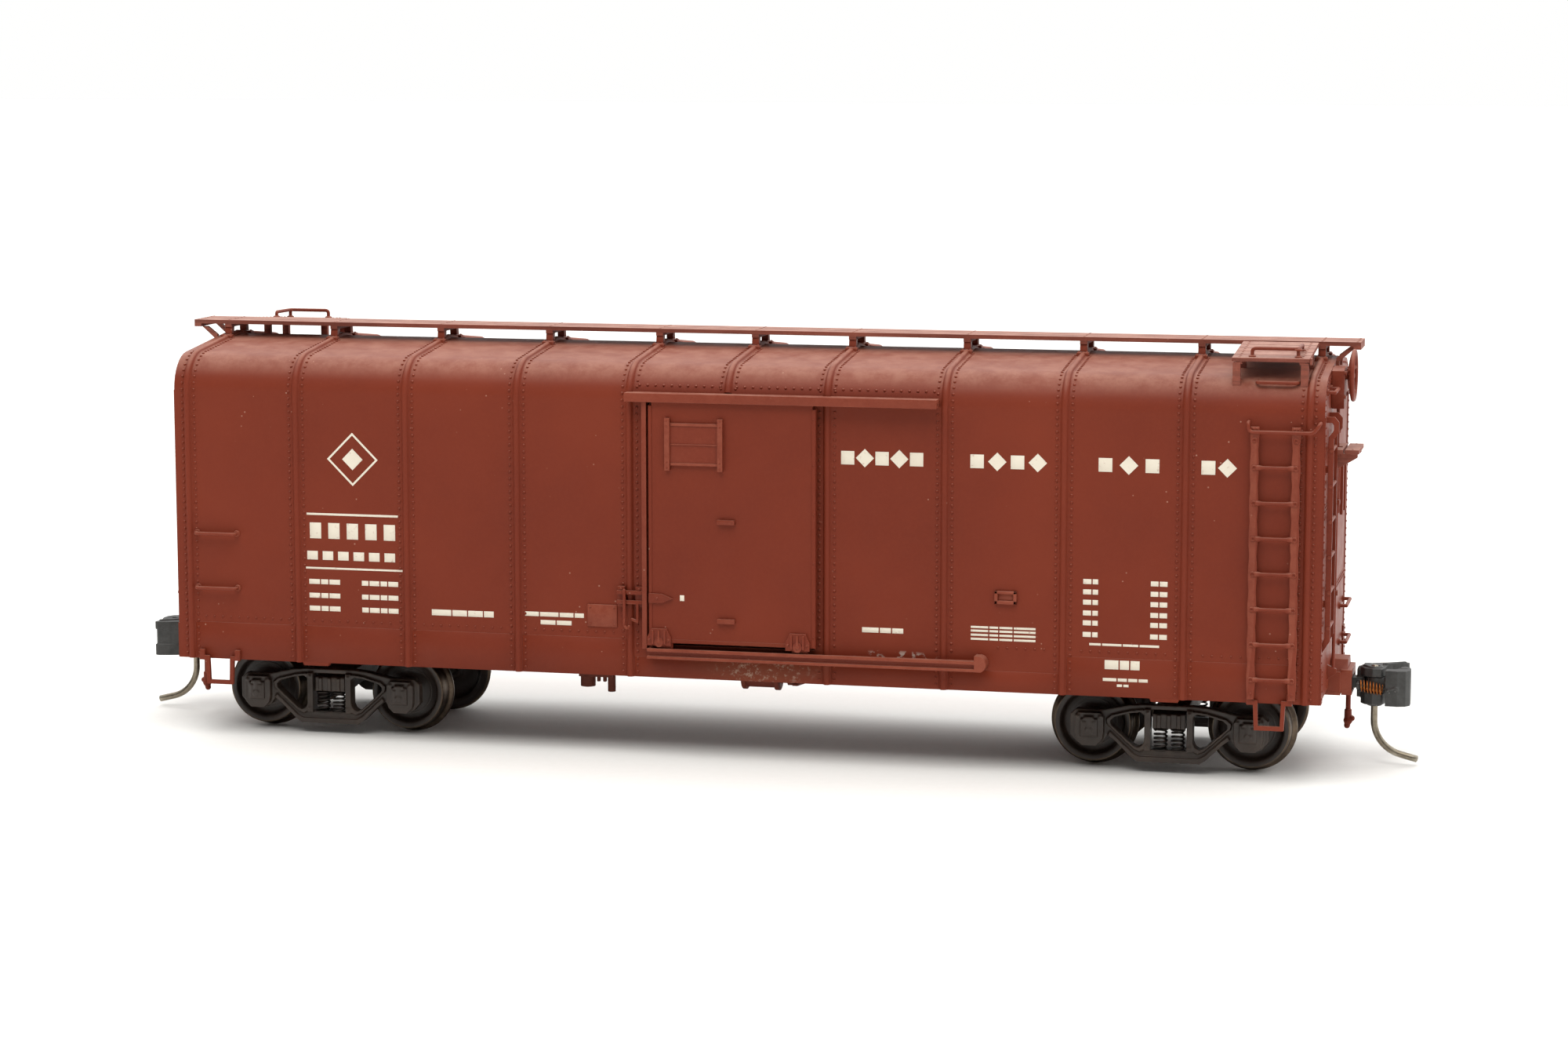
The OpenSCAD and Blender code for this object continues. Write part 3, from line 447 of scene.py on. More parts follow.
def noise(nt, co, scale, detail=4, rough=0.55, stretch=None):
    if stretch:
        mp = nt.nodes.new("ShaderNodeMapping")
        mp.inputs["Scale"].default_value = stretch
        nt.links.new(co, mp.inputs["Vector"])
        co = mp.outputs[0]
    n = nt.nodes.new("ShaderNodeTexNoise")
    n.inputs["Scale"].default_value = scale
    n.inputs["Detail"].default_value = detail
    n.inputs["Roughness"].default_value = rough
    nt.links.new(co, n.inputs["Vector"])
    return n.outputs["Fac"]


def ramp(nt, fac, stops):
    r = nt.nodes.new("ShaderNodeValToRGB")
    els = r.color_ramp.elements
    els[0].position, els[0].color = stops[0][0], (*stops[0][1], 1)
    els[1].position, els[1].color = stops[-1][0], (*stops[-1][1], 1)
    for p, c in stops[1:-1]:
        e = els.new(p)
        e.color = (*c, 1)
    nt.links.new(fac, r.inputs[0])
    return r.outputs[0]


def fade(nt, fac, a, b, lo=0.0, hi=1.0):
    m = nt.nodes.new("ShaderNodeMapRange")
    m.interpolation_type = "SMOOTHSTEP"
    m.inputs["From Min"].default_value = a
    m.inputs["From Max"].default_value = b
    m.inputs["To Min"].default_value = lo
    m.inputs["To Max"].default_value = hi
    nt.links.new(fac, m.inputs["Value"])
    return m.outputs[0]


def mix(nt, fac, a, b, mode="MIX"):
    m = nt.nodes.new("ShaderNodeMix")
    m.data_type = "RGBA"
    m.blend_type = mode
    for sock, val in ((m.inputs[0], fac), (m.inputs[6], a), (m.inputs[7], b)):
        if isinstance(val, (int, float)):
            sock.default_value = val
        elif isinstance(val, tuple):
            sock.default_value = (*val, 1)
        else:
            nt.links.new(val, sock)
    return m.outputs[2]


def mathn(nt, op, a, b=None):
    m = nt.nodes.new("ShaderNodeMath")
    m.operation = op
    for sock, val in ((m.inputs[0], a), (m.inputs[1], b)):
        if val is None:
            continue
        if isinstance(val, (int, float)):
            sock.default_value = val
        else:
            nt.links.new(val, sock)
    return m.outputs[0]


def bump(nt, bsdf, height, strength, distance):
    b = nt.nodes.new("ShaderNodeBump")
    b.inputs["Strength"].default_value = strength
    b.inputs["Distance"].default_value = distance
    nt.links.new(height, b.inputs["Height"])
    nt.links.new(b.outputs[0], bsdf.inputs["Normal"])


def lin(r, g, b):
    return tuple(((c / 255) / 12.92 if c / 255 <= 0.04045 else ((c / 255 + 0.055) / 1.055) ** 2.4) for c in (r, g, b))


def geom(nt, what):
    g = nt.nodes.new("ShaderNodeNewGeometry")
    return g.outputs[what]


def up_mask(nt, a=0.35, b=0.95):
    s = nt.nodes.new("ShaderNodeSeparateXYZ")
    nt.links.new(geom(nt, "Normal"), s.inputs[0])
    return fade(nt, s.outputs[2], a, b)


def paint(name, base, dark, light, dust=(186, 140, 122), dusting=0.35, rough=0.5, grain=None, dirt=None, wear=0.0):
    """Air-brushed model paint: slight mottling, fine dust specks, dust lying on what faces up (also a painted sheen
    that lightens what faces up), worn edges.
    """
    mat, nt, bsdf, co = nodes_of(name)
    big = noise(nt, co, 45, 3)
    col = ramp(nt, big, [(0.3, lin(*dark)), (0.55, lin(*base)), (0.8, lin(*light))])
    fine = noise(nt, co, 2600, 3, 0.6)
    col = mix(nt, fade(nt, fine, 0.35, 0.75, 0.0, 0.22), col, lin(*light))
    if grain:
        g = noise(nt, co, 1.0, 5, 0.65, stretch=grain)
        col = mix(nt, fade(nt, g, 0.42, 0.62, 0.0, 0.55), col, lin(*[int(c * 0.62) for c in base]))
    # dust on what faces up, partly a painted sheen: faces that look up are made lighter
    mid = noise(nt, co, 420, 5, 0.7)
    up = up_mask(nt)
    top_dust_and_sheen = mathn(nt, "MULTIPLY", up, fade(nt, mid, 0.25, 0.75, 0.35, 1.0))
    col = mix(nt, mathn(nt, "MULTIPLY", top_dust_and_sheen, dusting), col, lin(*dust))
    # specks
    vor = nt.nodes.new("ShaderNodeTexVoronoi")
    vor.inputs["Scale"].default_value = 620
    nt.links.new(co, vor.inputs["Vector"])
    speck = fade(nt, vor.outputs["Distance"], 0.045, 0.075, 1.0, 0.0)
    speck = mathn(nt, "MULTIPLY", speck, fade(nt, noise(nt, co, 95, 2), 0.5, 0.62))
    col = mix(nt, mathn(nt, "MULTIPLY", speck, 0.5), col, lin(190, 150, 130))
    # rubbed edges
    if wear:
        edge = mathn(nt, "MULTIPLY", fade(nt, geom(nt, "Pointiness"), 0.53, 0.6), fade(nt, mid, 0.35, 0.65, 0.4, 1.0))
        col = mix(nt, mathn(nt, "MULTIPLY", edge, wear), col, lin(160, 92, 72))
    if dirt:
        col = dirt(nt, co, col)
    nt.links.new(col, bsdf.inputs["Base Color"])
    nt.links.new(fade(nt, mid, 0.2, 0.8, rough - 0.06, rough + 0.1), bsdf.inputs["Roughness"])
    bsdf.inputs["Specular IOR Level"].default_value = 0.16 if not grain else 0.3
    h = mathn(nt, "ADD", mathn(nt, "MULTIPLY", fine, 0.6), mathn(nt, "MULTIPLY", mid, 0.5))
    if grain:
        h = mathn(nt, "ADD", h, mathn(nt, "MULTIPLY", g, 1.6))
    bump(nt, bsdf, h, 0.35 if not grain else 0.6, 0.00005)
    return mat


def side_dirt(nt, co, col):
    """Pale grit thrown up below the door, and a little rust along the lower track."""
    s = nt.nodes.new("ShaderNodeSeparateXYZ")
    nt.links.new(co, s.inputs[0])

    def spot(x, z, rx, rz):
        a = mathn(nt, "DIVIDE", mathn(nt, "SUBTRACT", s.outputs[0], x * MM), rx * MM)
        b = mathn(nt, "DIVIDE", mathn(nt, "SUBTRACT", s.outputs[2], z * MM), rz * MM)
        d = mathn(nt, "ADD", mathn(nt, "MULTIPLY", a, a), mathn(nt, "MULTIPLY", b, b))
        return fade(nt, d, 0.0, 1.0, 1.0, 0.0)

    grit = fade(nt, noise(nt, co, 1500, 4, 0.75), 0.5, 0.66)
    m = mathn(nt, "MULTIPLY", spot(4.5, 11.6, 7.5, 2.4), grit)
    col = mix(nt, mathn(nt, "MULTIPLY", m, 0.75), col, lin(176, 150, 132))
    haze = mathn(nt, "MULTIPLY", spot(4.0, 12.2, 11.0, 3.4), 0.22)
    col = mix(nt, haze, col, lin(120, 84, 60))
    m2 = mathn(nt, "MULTIPLY", spot(21.0, 13.9, 6.0, 0.8), fade(nt, noise(nt, co, 900, 3), 0.52, 0.6))
    return mix(nt, mathn(nt, "MULTIPLY", m2, 0.8), col, lin(190, 176, 164))


BASE, DARK, LIGHT = (116, 46, 28), (108, 42, 26), (124, 51, 31)
# dusting 0.5 here is partly dust and partly a painted sheen that lightens the roof
PAINT = paint("body_paint", BASE, DARK, LIGHT, dirt=side_dirt, dusting=0.5)
PAINT_END = paint("end_paint", BASE, DARK, LIGHT, dusting=0.5, rough=0.42)
DOOR_PAINT = paint("door_paint", (116, 46, 28), (108, 42, 26), (123, 51, 31), dirt=side_dirt)
TRIM = paint("trim_paint", (118, 49, 32), (106, 42, 27), (134, 62, 44), dusting=0.4, rough=0.42, wear=0.35)
WALK = paint("walk_paint", (134, 70, 55), (120, 58, 44), (158, 96, 80), dust=(206, 168, 152), dusting=0.6, rough=0.62, grain=(70, 2200, 2200), wear=0.2)
UNDER = paint("underbody_plastic", (66, 38, 31), (54, 31, 26), (84, 50, 41), dust=(120, 92, 78), dusting=0.3, rough=0.55)
FRAME_P = paint("underframe_paint", (104, 50, 37), (90, 43, 32), (118, 60, 46), dusting=0.3)


def plastic(name, base, dark, light, dust, rough, spec=0.4, dusting=0.25):
    mat, nt, bsdf, co = nodes_of(name)
    big = noise(nt, co, 160, 4)
    col = ramp(nt, big, [(0.3, lin(*dark)), (0.55, lin(*base)), (0.8, lin(*light))])
    mid = noise(nt, co, 700, 5, 0.7)
    col = mix(nt, mathn(nt, "MULTIPLY", mathn(nt, "MULTIPLY", up_mask(nt, 0.1, 0.9), fade(nt, mid, 0.4, 0.7)), dusting), col, lin(*dust))
    edge = fade(nt, geom(nt, "Pointiness"), 0.52, 0.6)
    col = mix(nt, mathn(nt, "MULTIPLY", edge, 0.35), col, lin(*light))
    nt.links.new(col, bsdf.inputs["Base Color"])
    nt.links.new(fade(nt, mid, 0.25, 0.75, rough - 0.08, rough + 0.1), bsdf.inputs["Roughness"])
    bsdf.inputs["Specular IOR Level"].default_value = spec
    bump(nt, bsdf, mathn(nt, "ADD", noise(nt, co, 2800, 3), mathn(nt, "MULTIPLY", mid, 0.6)), 0.4, 0.00005)
    return mat


TRUCK = plastic("truck_plastic", (52, 41, 34), (42, 33, 27), (74, 60, 49), (100, 86, 74), 0.42, 0.45, 0.18)
WHEEL = plastic("wheel_metal", (46, 36, 31), (37, 29, 25), (66, 52, 44), (96, 80, 68), 0.4, 0.45, 0.12)


def metal(name, base, dark, rough, metallic=1.0, scale=900, stretch=None, edge_col=None, spread=0.12):
    mat, nt, bsdf, co = nodes_of(name)
    n = noise(nt, co, scale, 5, 0.65, stretch)
    col = ramp(nt, n, [(0.3, lin(*dark)), (0.7, lin(*base))])
    if edge_col:
        edge = fade(nt, geom(nt, "Pointiness"), 0.52, 0.6)
        col = mix(nt, mathn(nt, "MULTIPLY", edge, 0.6), col, lin(*edge_col))
    nt.links.new(col, bsdf.inputs["Base Color"])
    bsdf.inputs["Metallic"].default_value = metallic
    nt.links.new(fade(nt, n, 0.2, 0.8, rough, rough + spread), bsdf.inputs["Roughness"])
    bump(nt, bsdf, n, 0.25, 0.00004)
    return mat


TREAD = metal("wheel_tread", (112, 98, 84), (62, 52, 45), 0.3, scale=1.0, stretch=(500, 90, 500))
AXLE = metal("axle_steel", (120, 112, 104), (70, 62, 56), 0.4)
COUPLER = metal("coupler_metal", (80, 80, 79), (58, 58, 57), 0.46, metallic=0.55, edge_col=(150, 150, 148))
PIN = metal("trip_pin_steel", (156, 148, 132), (112, 100, 84), 0.3, scale=1100, edge_col=(190, 184, 170))
BRONZE = metal("spring_bronze", (196, 122, 62), (120, 66, 32), 0.3)
SPRING = metal("truck_spring_steel", (70, 64, 60), (40, 36, 33), 0.36, metallic=0.8)
SCREW = metal("screw_steel", (132, 128, 122), (86, 82, 78), 0.38)
WEIGHT = metal("weight_steel", (150, 148, 144), (104, 100, 96), 0.42, scale=1.0, stretch=(60, 1400, 1400))


def mark_paint():
    mat, nt, bsdf, co = nodes_of("mark_white")
    n = noise(nt, co, 1700, 4, 0.7)
    col = mix(nt, fade(nt, n, 0.58, 0.72, 0.0, 0.6), lin(226, 217, 200), lin(150, 84, 66))
    col = mix(nt, fade(nt, noise(nt, co, 300, 3), 0.4, 0.7, 0.0, 0.2), col, lin(205, 190, 170))
    nt.links.new(col, bsdf.inputs["Base Color"])
    bsdf.inputs["Roughness"].default_value = 0.6
    bump(nt, bsdf, n, 0.2, 0.00002)
    return mat


MARK = mark_paint()

# ------------------------------------------------------------------ body shell
def half_profile(off, n=22):
    """Outline from the +Y sill to the ridge, moved out by off: (y, z, normal y, normal z)."""
    pts = [(HALF + off, z, 1.0, 0.0) for z in (SILL, 14.2, 22.0, 32.0, 43.4, EAVE)]
    for i in range(1, n + 1):
        a = ARC * i / n
        pts.append((ARC_Y + (ER + off) * cos(a), EAVE + (ER + off) * sin(a), cos(a), sin(a)))
    y0, z0 = pts[-1][0], pts[-1][1]
    zr = RIDGE + off / cos(ROOF_A)
    for t in (0.35, 0.7):
        pts.append((y0 * (1 - t), z0 + (zr - z0) * t, sin(ROOF_A), cos(ROOF_A)))
    return pts, (0.0, zr, 0.0, 1.0)


def full_profile(off, n=22):
    h, r = half_profile(off, n)
    return h + [r] + [(-y, z, -a, b) for y, z, a, b in reversed(h)]


def shell():
    m = M()
    outer, inner = full_profile(0.0), full_profile(-WALL)
    xs = [-SX, -10.9, -9.2, 9.2, 10.9, SX]
    nx, npf = len(xs), len(outer)
    vs = [(x, p[0], p[1]) for x in xs for p in outer] + [(x, p[0], p[1]) for x in xs for p in inner]
    O = lambda i, j: i * npf + j
    I = lambda i, j: nx * npf + i * npf + j

    def open_cell(i, j):
        if not (0 <= i < nx - 1 and 0 <= j < npf - 1):
            return True
        x = (xs[i] + xs[i + 1]) / 2
        y = (outer[j][0] + outer[j + 1][0]) / 2
        z = (outer[j][1] + outer[j + 1][1]) / 2
        if abs(y) > 17 and 14.2 < z < 43.4:
            return (-9.2 < x < 10.9) if y < 0 else (-10.9 < x < 9.2)
        return False

    fs = []
    for i in range(nx - 1):
        for j in range(npf - 1):
            if open_cell(i, j):
                continue
            fs.append((O(i, j), O(i + 1, j), O(i + 1, j + 1), O(i, j + 1)))
            fs.append((I(i, j), I(i, j + 1), I(i + 1, j + 1), I(i + 1, j)))
            if open_cell(i - 1, j):
                fs.append((O(i, j), O(i, j + 1), I(i, j + 1), I(i, j)))
            if open_cell(i + 1, j):
                fs.append((O(i + 1, j), I(i + 1, j), I(i + 1, j + 1), O(i + 1, j + 1)))
            if open_cell(i, j - 1):
                fs.append((O(i, j), I(i, j), I(i + 1, j), O(i + 1, j)))
            if open_cell(i, j + 1):
                fs.append((O(i, j + 1), O(i + 1, j + 1), I(i + 1, j + 1), I(i, j + 1)))
    m.add(vs, fs)
    # bolster ends below the sill
    for s in (-1, 1):
        for t in (-1, 1):
            y0, y1 = (HALF - WALL, HALF + 0.03) if s > 0 else (-HALF - 0.03, -HALF + WALL)
            slab(m, [(t * TRUCK_X - 1.95, SILL + 0.35), (t * TRUCK_X + 1.95, SILL + 0.35), (t * TRUCK_X + 1.6, SILL - 0.4), (t * TRUCK_X - 1.6, SILL - 0.4)], 1, y0, y1, 0.05)
    return m


def rib_path(full=True):
    """Points up one side, over the roof and down the other, each with its normal."""
    h, r = half_profile(0.0, 14)
    side = []
    if full:
        for z in (SILL, 13, 18, 24, 30, 36, 41, EAVE):
            side.append((HALF, z, 1.0, 0.0))
        side += h[6:]
    else:
        a0 = math.asin((45.45 - EAVE) / ER)
        for i in range(9):
            a = a0 + (ARC - a0) * i / 8
            side.append((ARC_Y + ER * cos(a), EAVE + ER * sin(a), cos(a), sin(a)))
        side += h[-2:]
    return side + [r] + [(-y, z, -a, b) for y, z, a, b in reversed(side)]


def rib(m, x, full=True, r=RIB_R, seg=10):
    path = rib_path(full)
    vs, rows = [], []
    # half-round bead with a small fillet where it meets the sheet
    prof = [(-r * 1.22, -0.03), (-r * 1.22, 0.02), (-r * 1.03, 0.07)]
    for k in range(1, seg):
        a = pi - pi * k / seg
        prof.append((r * cos(a) * 0.98, r * sin(a)))
    prof += [(r * 1.03, 0.07), (r * 1.22, 0.02), (r * 1.22, -0.03)]
    for y, z, ny, nz in path:
        rows.append(len(vs))
        for dx, h in prof:
            vs.append((x + dx, y + ny * h, z + nz * h))
    n = len(prof)
    fs = []
    for a, b in zip(rows, rows[1:]):
        for k in range(n):
            j = (k + 1) % n
            fs.append((a + k, a + j, b + j, b + k))
    fs += [tuple(rows[0] + k for k in range(n)), tuple(rows[-1] + k for k in range(n))]
    m.add(vs, fs)


body = shell()
for x in RIBS:
    rib(body, x)
rib(body, 0.0, False)
piece(body, "body_shell_v", PAINT, "car_body", ("body_shell",), angle=50)

# rivets beside the ribs, along the sills, over the doors and round the ends
riv = M()
ARC_LEN = ER * ARC


def surf(s):
    """Point and normal at a length s up the side from the sill, on the +Y side."""
    straight = EAVE - SILL
    if s <= straight:
        return (HALF, SILL + s), (1.0, 0.0)
    s -= straight
    if s <= ARC_LEN:
        a = s / ER
        return (ARC_Y + ER * cos(a), EAVE + ER * sin(a)), (cos(a), sin(a))
    s -= ARC_LEN
    y = ARC_Y + ER * cos(ARC) - s * cos(ROOF_A)
    return (y, EAVE + ER * sin(ARC) + s * sin(ROOF_A)), (sin(ROOF_A), cos(ROOF_A))


TOTAL = EAVE - SILL + ARC_LEN + (ARC_Y + ER * cos(ARC)) / cos(ROOF_A)
for x in RIBS + [0.0]:
    for dx in (-0.92, 0.92):
        rx = x + dx
        if abs(rx) > SX - 0.2:
            rx = math.copysign(SX - 0.42, rx)
        s = 0.62
        while s < TOTAL - 3.6:
            (y, z), (ny, nz) = surf(s)
            for side in (-1, 1):
                if x == 0.0 and z < 45.5:
                    continue
                lx = rx * (1 if side < 0 else -1)     # X as seen on the near side
                if 12.4 < z < 14.1 and -10 < lx < 32.5:
                    continue
                if 44.1 < z < 45.6 and -12.8 < lx < 26.4:
                    continue
                if 14.1 < z < 43.6 and -9.4 < lx < 11.0:
                    continue
                jit = rnd.uniform(-0.02, 0.02)
                rivet(riv, (rx, side * y, z + jit), (0, side * ny, nz), 0.17 + rnd.uniform(-0.008, 0.008), 0.15)
            s += 0.84
for side in (-1, 1):
    # over the door track
    a = math.asin((46.15 - EAVE) / ER)
    x = -11.2
    while x < 26.2:
        if min(abs(x - r) for r in (0.0, 12.42, 26.9)) > 0.75:
            rivet(riv, (x * -side, side * (ARC_Y + ER * cos(a)), EAVE + ER * sin(a)), (0, side * cos(a), sin(a)), 0.17, 0.15)
        x += 1.02
    # along the sill plate, clear of the ribs
    x = -70.6
    while x < 70.7:
        lx = x * -side
        if min(abs(x - r) for r in RIBS) > 1.25 and not (-11.5 < lx < 33.5):
            rivet(riv, (x, side * HALF, 15.45), (0, side, 0), 0.14, 0.1)
        x += 1.12
piece(riv, "body_rivets", PAINT, "car_body", angle=60)

# sill plates: a thin plate lapped over the lower edge of each bay
pl = M()
stations = [-SX] + RIBS + [SX]
for side in (-1, 1):
    for a, b in zip(stations, stations[1:]):
        x0, x1 = a + 0.55, b - 0.55
        if x1 - x0 < 2:
            continue
        y0, y1 = (HALF - 0.02, HALF + 0.045) if side > 0 else (-HALF - 0.045, -HALF + 0.02)
        la, lb = sorted((a * -side, b * -side))
        top = 14.75 if not (lb > -9 and la < 31) else 12.6
        cbox(pl, (x0, y0, SILL + 0.02), (x1, y1, top), 0.03)
piece(pl, "sill_plates", PAINT, "car_body", angle=60)

# ------------------------------------------------------------------ ends
for node, s in (("end_panel_brake_end", 1), ("end_panel_plain_end", -1)):
    ex = M()
    xo = HX
    for z0 in (21.4, 33.2):
        cbox(ex, (xo - 0.02, -HALF + 0.9, z0 - 0.42), (xo + 0.07, HALF - 0.9, z0 + 0.42), 0.03)
        y = -HALF + 1.5
        while y < HALF - 1.4:
            for dz in (-0.22, 0.22):
                rivet(ex, (xo + 0.07, y, z0 + dz), (1, 0, 0), 0.13, 0.09)
            y += 0.95
    for sy in (-1, 1):
        # corner angle with its rivets
        cbox(ex, (xo - 0.02, min(sy * (HALF - 0.05), sy * (HALF - 1.15)), SILL + 4.5), (xo + 0.1, max(sy * (HALF - 0.05), sy * (HALF - 1.15)), EAVE), 0.04)
        z = SILL + 5.0
        while z < EAVE - 0.2:
            rivet(ex, (xo + 0.1, sy * (HALF - 0.62), z), (1, 0, 0), 0.14, 0.1)
            z += 0.9
        for i in range(1, 8):
            a = ARC * i / 8
            rivet(ex, (xo, sy * (ARC_Y + (ER - 0.6) * cos(a)), EAVE + (ER - 0.6) * sin(a)), (1, 0, 0), 0.14, 0.1)
        for k in range(12):
            y = 11.8 - k * 0.95
            rivet(ex, (xo, sy * y, RIDGE - y * tan(ROOF_A) - 0.62), (1, 0, 0), 0.14, 0.1)
        for z in (10.7, 11.6, 12.5, 13.4, 14.0):
            rivet(ex, (xo + 0.2, sy * 16.3, z), (1, 0, 0), 0.16, 0.12)
    if s < 0:
        ex.half_turn()
    refine(node, "car_body", PAINT_END, 0.0, 2, extra=ex)

# ------------------------------------------------------------------ doors
def door(side):
    m = M()
    y = -DOOR_OUT
    # folded edges of the door sheet
    cbox(m, (-9.68, y - 0.1, 14.65), (-9.25, y + 0.02, 43.85), 0.04)
    cbox(m, (10.78, y - 0.1, 14.65), (11.28, y + 0.02, 43.85), 0.05)
    cbox(m, (-9.2, y - 0.06, 14.65), (10.7, y + 0.02, 15.1), 0.03)
    for z in (16.0, 19.0, 25.0, 31.0, 37.0, 42.6):
        rivet(m, (11.03, y - 0.1, z), (0, -1, 0), 0.12, 0.08)
    if side > 0:
        m.half_turn()
    return m


refine("door_right", "right_door", DOOR_PAINT, 0.08, 2, extra=door(-1))
refine("door_left", "left_door", DOOR_PAINT, 0.08, 2, extra=door(1))


def door_trim(side):
    m = M()
    y = -DOOR_OUT
    for x in (-7.18, -0.52):
        for z in (36.3, 37.0, 41.4, 42.1):
            rivet(m, (x, y - 0.56, z), (0, -1, 0), 0.2, 0.08)
    # beads along the board's face
    for z0, z1 in ((36.62, 36.95), (41.45, 41.78), (39.12, 39.26)):
        cbox(m, (-6.8, y - 0.42, z0), (-0.9, y - 0.28, z1), 0.03)
    for x in (-8.35, 9.1):
        for dx in (-1.2, 1.2):
            hexbolt(m, (x + dx, y - 0.35, 15.0), (0, -1, 0), 0.2, 0.16)
        rivet(m, (x, y - 0.5, 14.75), (0, -1, 0), 0.3, 0.13, 12)
    rivet(m, (-8.6, y - 0.3, 20.15), (0, -1, 0), 0.17, 0.12)
    if side > 0:
        m.half_turn()
    return m


refine("door_right_fittings", "right_door", TRIM, 0.07, 2, extra=door_trim(-1))
refine("door_left_fittings", "left_door", TRIM, 0.07, 2, extra=door_trim(1))

# ------------------------------------------------------------------ fittings on the body
for node, bev in (("upper_door_tracks", 0.14), ("lower_door_tracks", 0.1), ("door_stops", 0.08), ("door_latches", 0.07),
                  ("end_placard_boards", 0.07), ("stirrup_steps", 0.06), ("brake_housing", 0.14),
                  ("brake_rod", 0.05), ("roof_walk_saddles", 0.05), ("end_ladders", 0.06), ("coupler_boxes", 0.1),
                  ("coupler_box_lids", 0.06), ("end_grab_irons", 0.0)):
    ex = None
    if node == "roof_walk_saddles":
        ex = M()
        for x in RIBS + [0.0]:
            for s in (-1, 1):
                z = RIDGE - 3.4 * tan(ROOF_A)
                cbox(ex, (x - 0.75, min(s * 2.9, s * 3.9), z - 0.25), (x + 0.75, max(s * 2.9, s * 3.9), z + 0.42), 0.08)
                for dx in (-0.5, 0.5):
                    rivet(ex, (x + dx, s * 3.45, z + 0.42), (0, 0, 1), 0.17, 0.13)
    if node == "door_latches":
        ex = M()
        for x, z in ((-13.45, 19.1), (-13.45, 21.0), (-11.15, 19.1), (-11.15, 21.0)):
            rivet(ex, (x, -HALF - 0.55, z), (0, -1, 0), 0.18, 0.13)
        tube(ex, bent([(-12.9, -18.2, 17.4), (-12.95, -18.2, 16.6), (-12.5, -18.15, 16.1), (-12.3, -18.1, 16.5)], 0.4), 0.16, 10)
        ex.turned()
    refine(node, "car_body", TRIM, bev, 2, extra=ex)

soften("air_hoses", "car_body", TRIM, 0.07, 2)

cp = M()
for (x0, z0, x1, z1) in ((-17.9, 16.1, -14.1, 18.9),):
    cbox(cp, (x0, -HALF - 0.2, z0), (x1, -HALF + 0.02, z1), 0.06)
    for x in (x0 + 0.35, x1 - 0.35):
        for z in (z0 + 0.35, z1 - 0.35):
            rivet(cp, (x, -HALF - 0.2, z), (0, -1, 0), 0.12, 0.08)
for a, b in (((33.1, 20.8), (35.8, 21.25)), ((33.1, 20.8), (33.5, 22.4)), ((35.4, 20.8), (35.8, 22.4)), ((33.1, 22.05), (35.8, 22.4))):
    cbox(cp, (a[0], -HALF - 0.45, a[1]), (b[0], -HALF + 0.02, b[1]), 0.07)
cbox(cp, (33.1, -HALF - 0.12, 20.9), (35.8, -HALF + 0.02, 22.3), 0.03)
cp.turned()
piece(cp, "card_plates_v", TRIM, "car_body", ("card_plates",), angle=60)


# side ladders: waisted stiles, bolted rungs and a top iron with turned-up ends
def ladder():
    m = M()
    y0, y1 = -HALF - 0.55, -HALF - 0.9
    top, p = 42.45, 4.21
    for x in (64.0, 68.85):
        right, left = [], []
        zs = [10.6, 11.1]
        for i in range(8):
            zr = top - i * p
            zs += [zr - 0.75, zr, zr + 0.62]
            if i < 7:
                zs.append(zr - p / 2)
        zs = sorted(z for z in zs if 10.6 <= z <= 43.1)
        for z in zs:
            d = min(abs(z - (top - i * p)) for i in range(8))
            w = 0.52 if d < 0.8 else 0.43
            right.append((x + w, z))
            left.append((x - w, z))
        slab(m, right + left[::-1], 1, y1, y0, 0.06)
        for z in (12.6, 27.0, 42.2):
            cbox(m, (x - 0.3, y0 - 0.02, z - 0.4), (x + 0.3, -HALF, z + 0.4), 0.05)
        for i in range(1, 8):
            z = top - i * p
            lathe(m, [(0, 0.0), (0.33, 0.0), (0.33, 0.1), (0.27, 0.17), (0.17, 0.17), (0.13, 0.1), (0, 0.1)], (x, y1 + 0.02, z), (0, -1, 0), 14)
        for z in (41.5,):
            lathe(m, [(0, 0.0), (0.33, 0.0), (0.33, 0.1), (0.27, 0.17), (0.17, 0.17), (0.13, 0.1), (0, 0.1)], (x, y1 + 0.02, z), (0, -1, 0), 14)
        for dx in (-0.2, 0.2):
            rivet(m, (x + dx, y1, 42.85), (0, -1, 0), 0.12, 0.1)
        rivet(m, (x, y1, 11.3), (0, -1, 0), 0.16, 0.1)
    for i in range(1, 8):
        z = top - i * p
        pts = [(64.0 + (68.85 - 64.0) * t, y1 + 0.1, z) for t in (0.06, 0.14, 0.2, 0.5, 0.8, 0.86, 0.94)]
        tube(m, pts, [0.34, 0.3, 0.22, 0.205, 0.22, 0.3, 0.34], 12)
    yt = y1 - 0.13
    tube(m, bent([(63.2, -HALF, top + 1.1), (63.2, yt, top + 1.1), (63.35, yt, top), (70.9, yt, top), (71.6, yt, top + 1.1), (71.6, -HALF, top + 1.1)], 0.55), 0.22, 14, cap=0)
    return m


piece(ladder().turned(), "side_ladders_v", TRIM, "car_body", ("side_ladders",), angle=45)


def grab_side():
    m = M()
    yo = -HALF - 0.95
    for z in (26.15, 19.2):
        tube(m, bent([(-69.3, -HALF, z), (-69.3, yo, z), (-64.0, yo, z), (-64.0, -HALF, z)], 0.5), 0.22, 14, cap=0)
        for x in (-69.3, -64.0):
            lathe(m, [(0, 0), (0.42, 0), (0.42, 0.14), (0.34, 0.24), (0, 0.26)], (x, -HALF, z), (0, -1, 0), 12)
    tube(m, bent([(63.9, -14.45, 48.1), (63.9, -15.9, 48.1), (68.7, -15.9, 48.1), (68.7, -14.45, 48.1)], 0.6), 0.22, 14, cap=0)
    return m


piece(grab_side().turned(), "side_grab_irons_v", TRIM, "car_body", ("side_grab_irons",), angle=45)


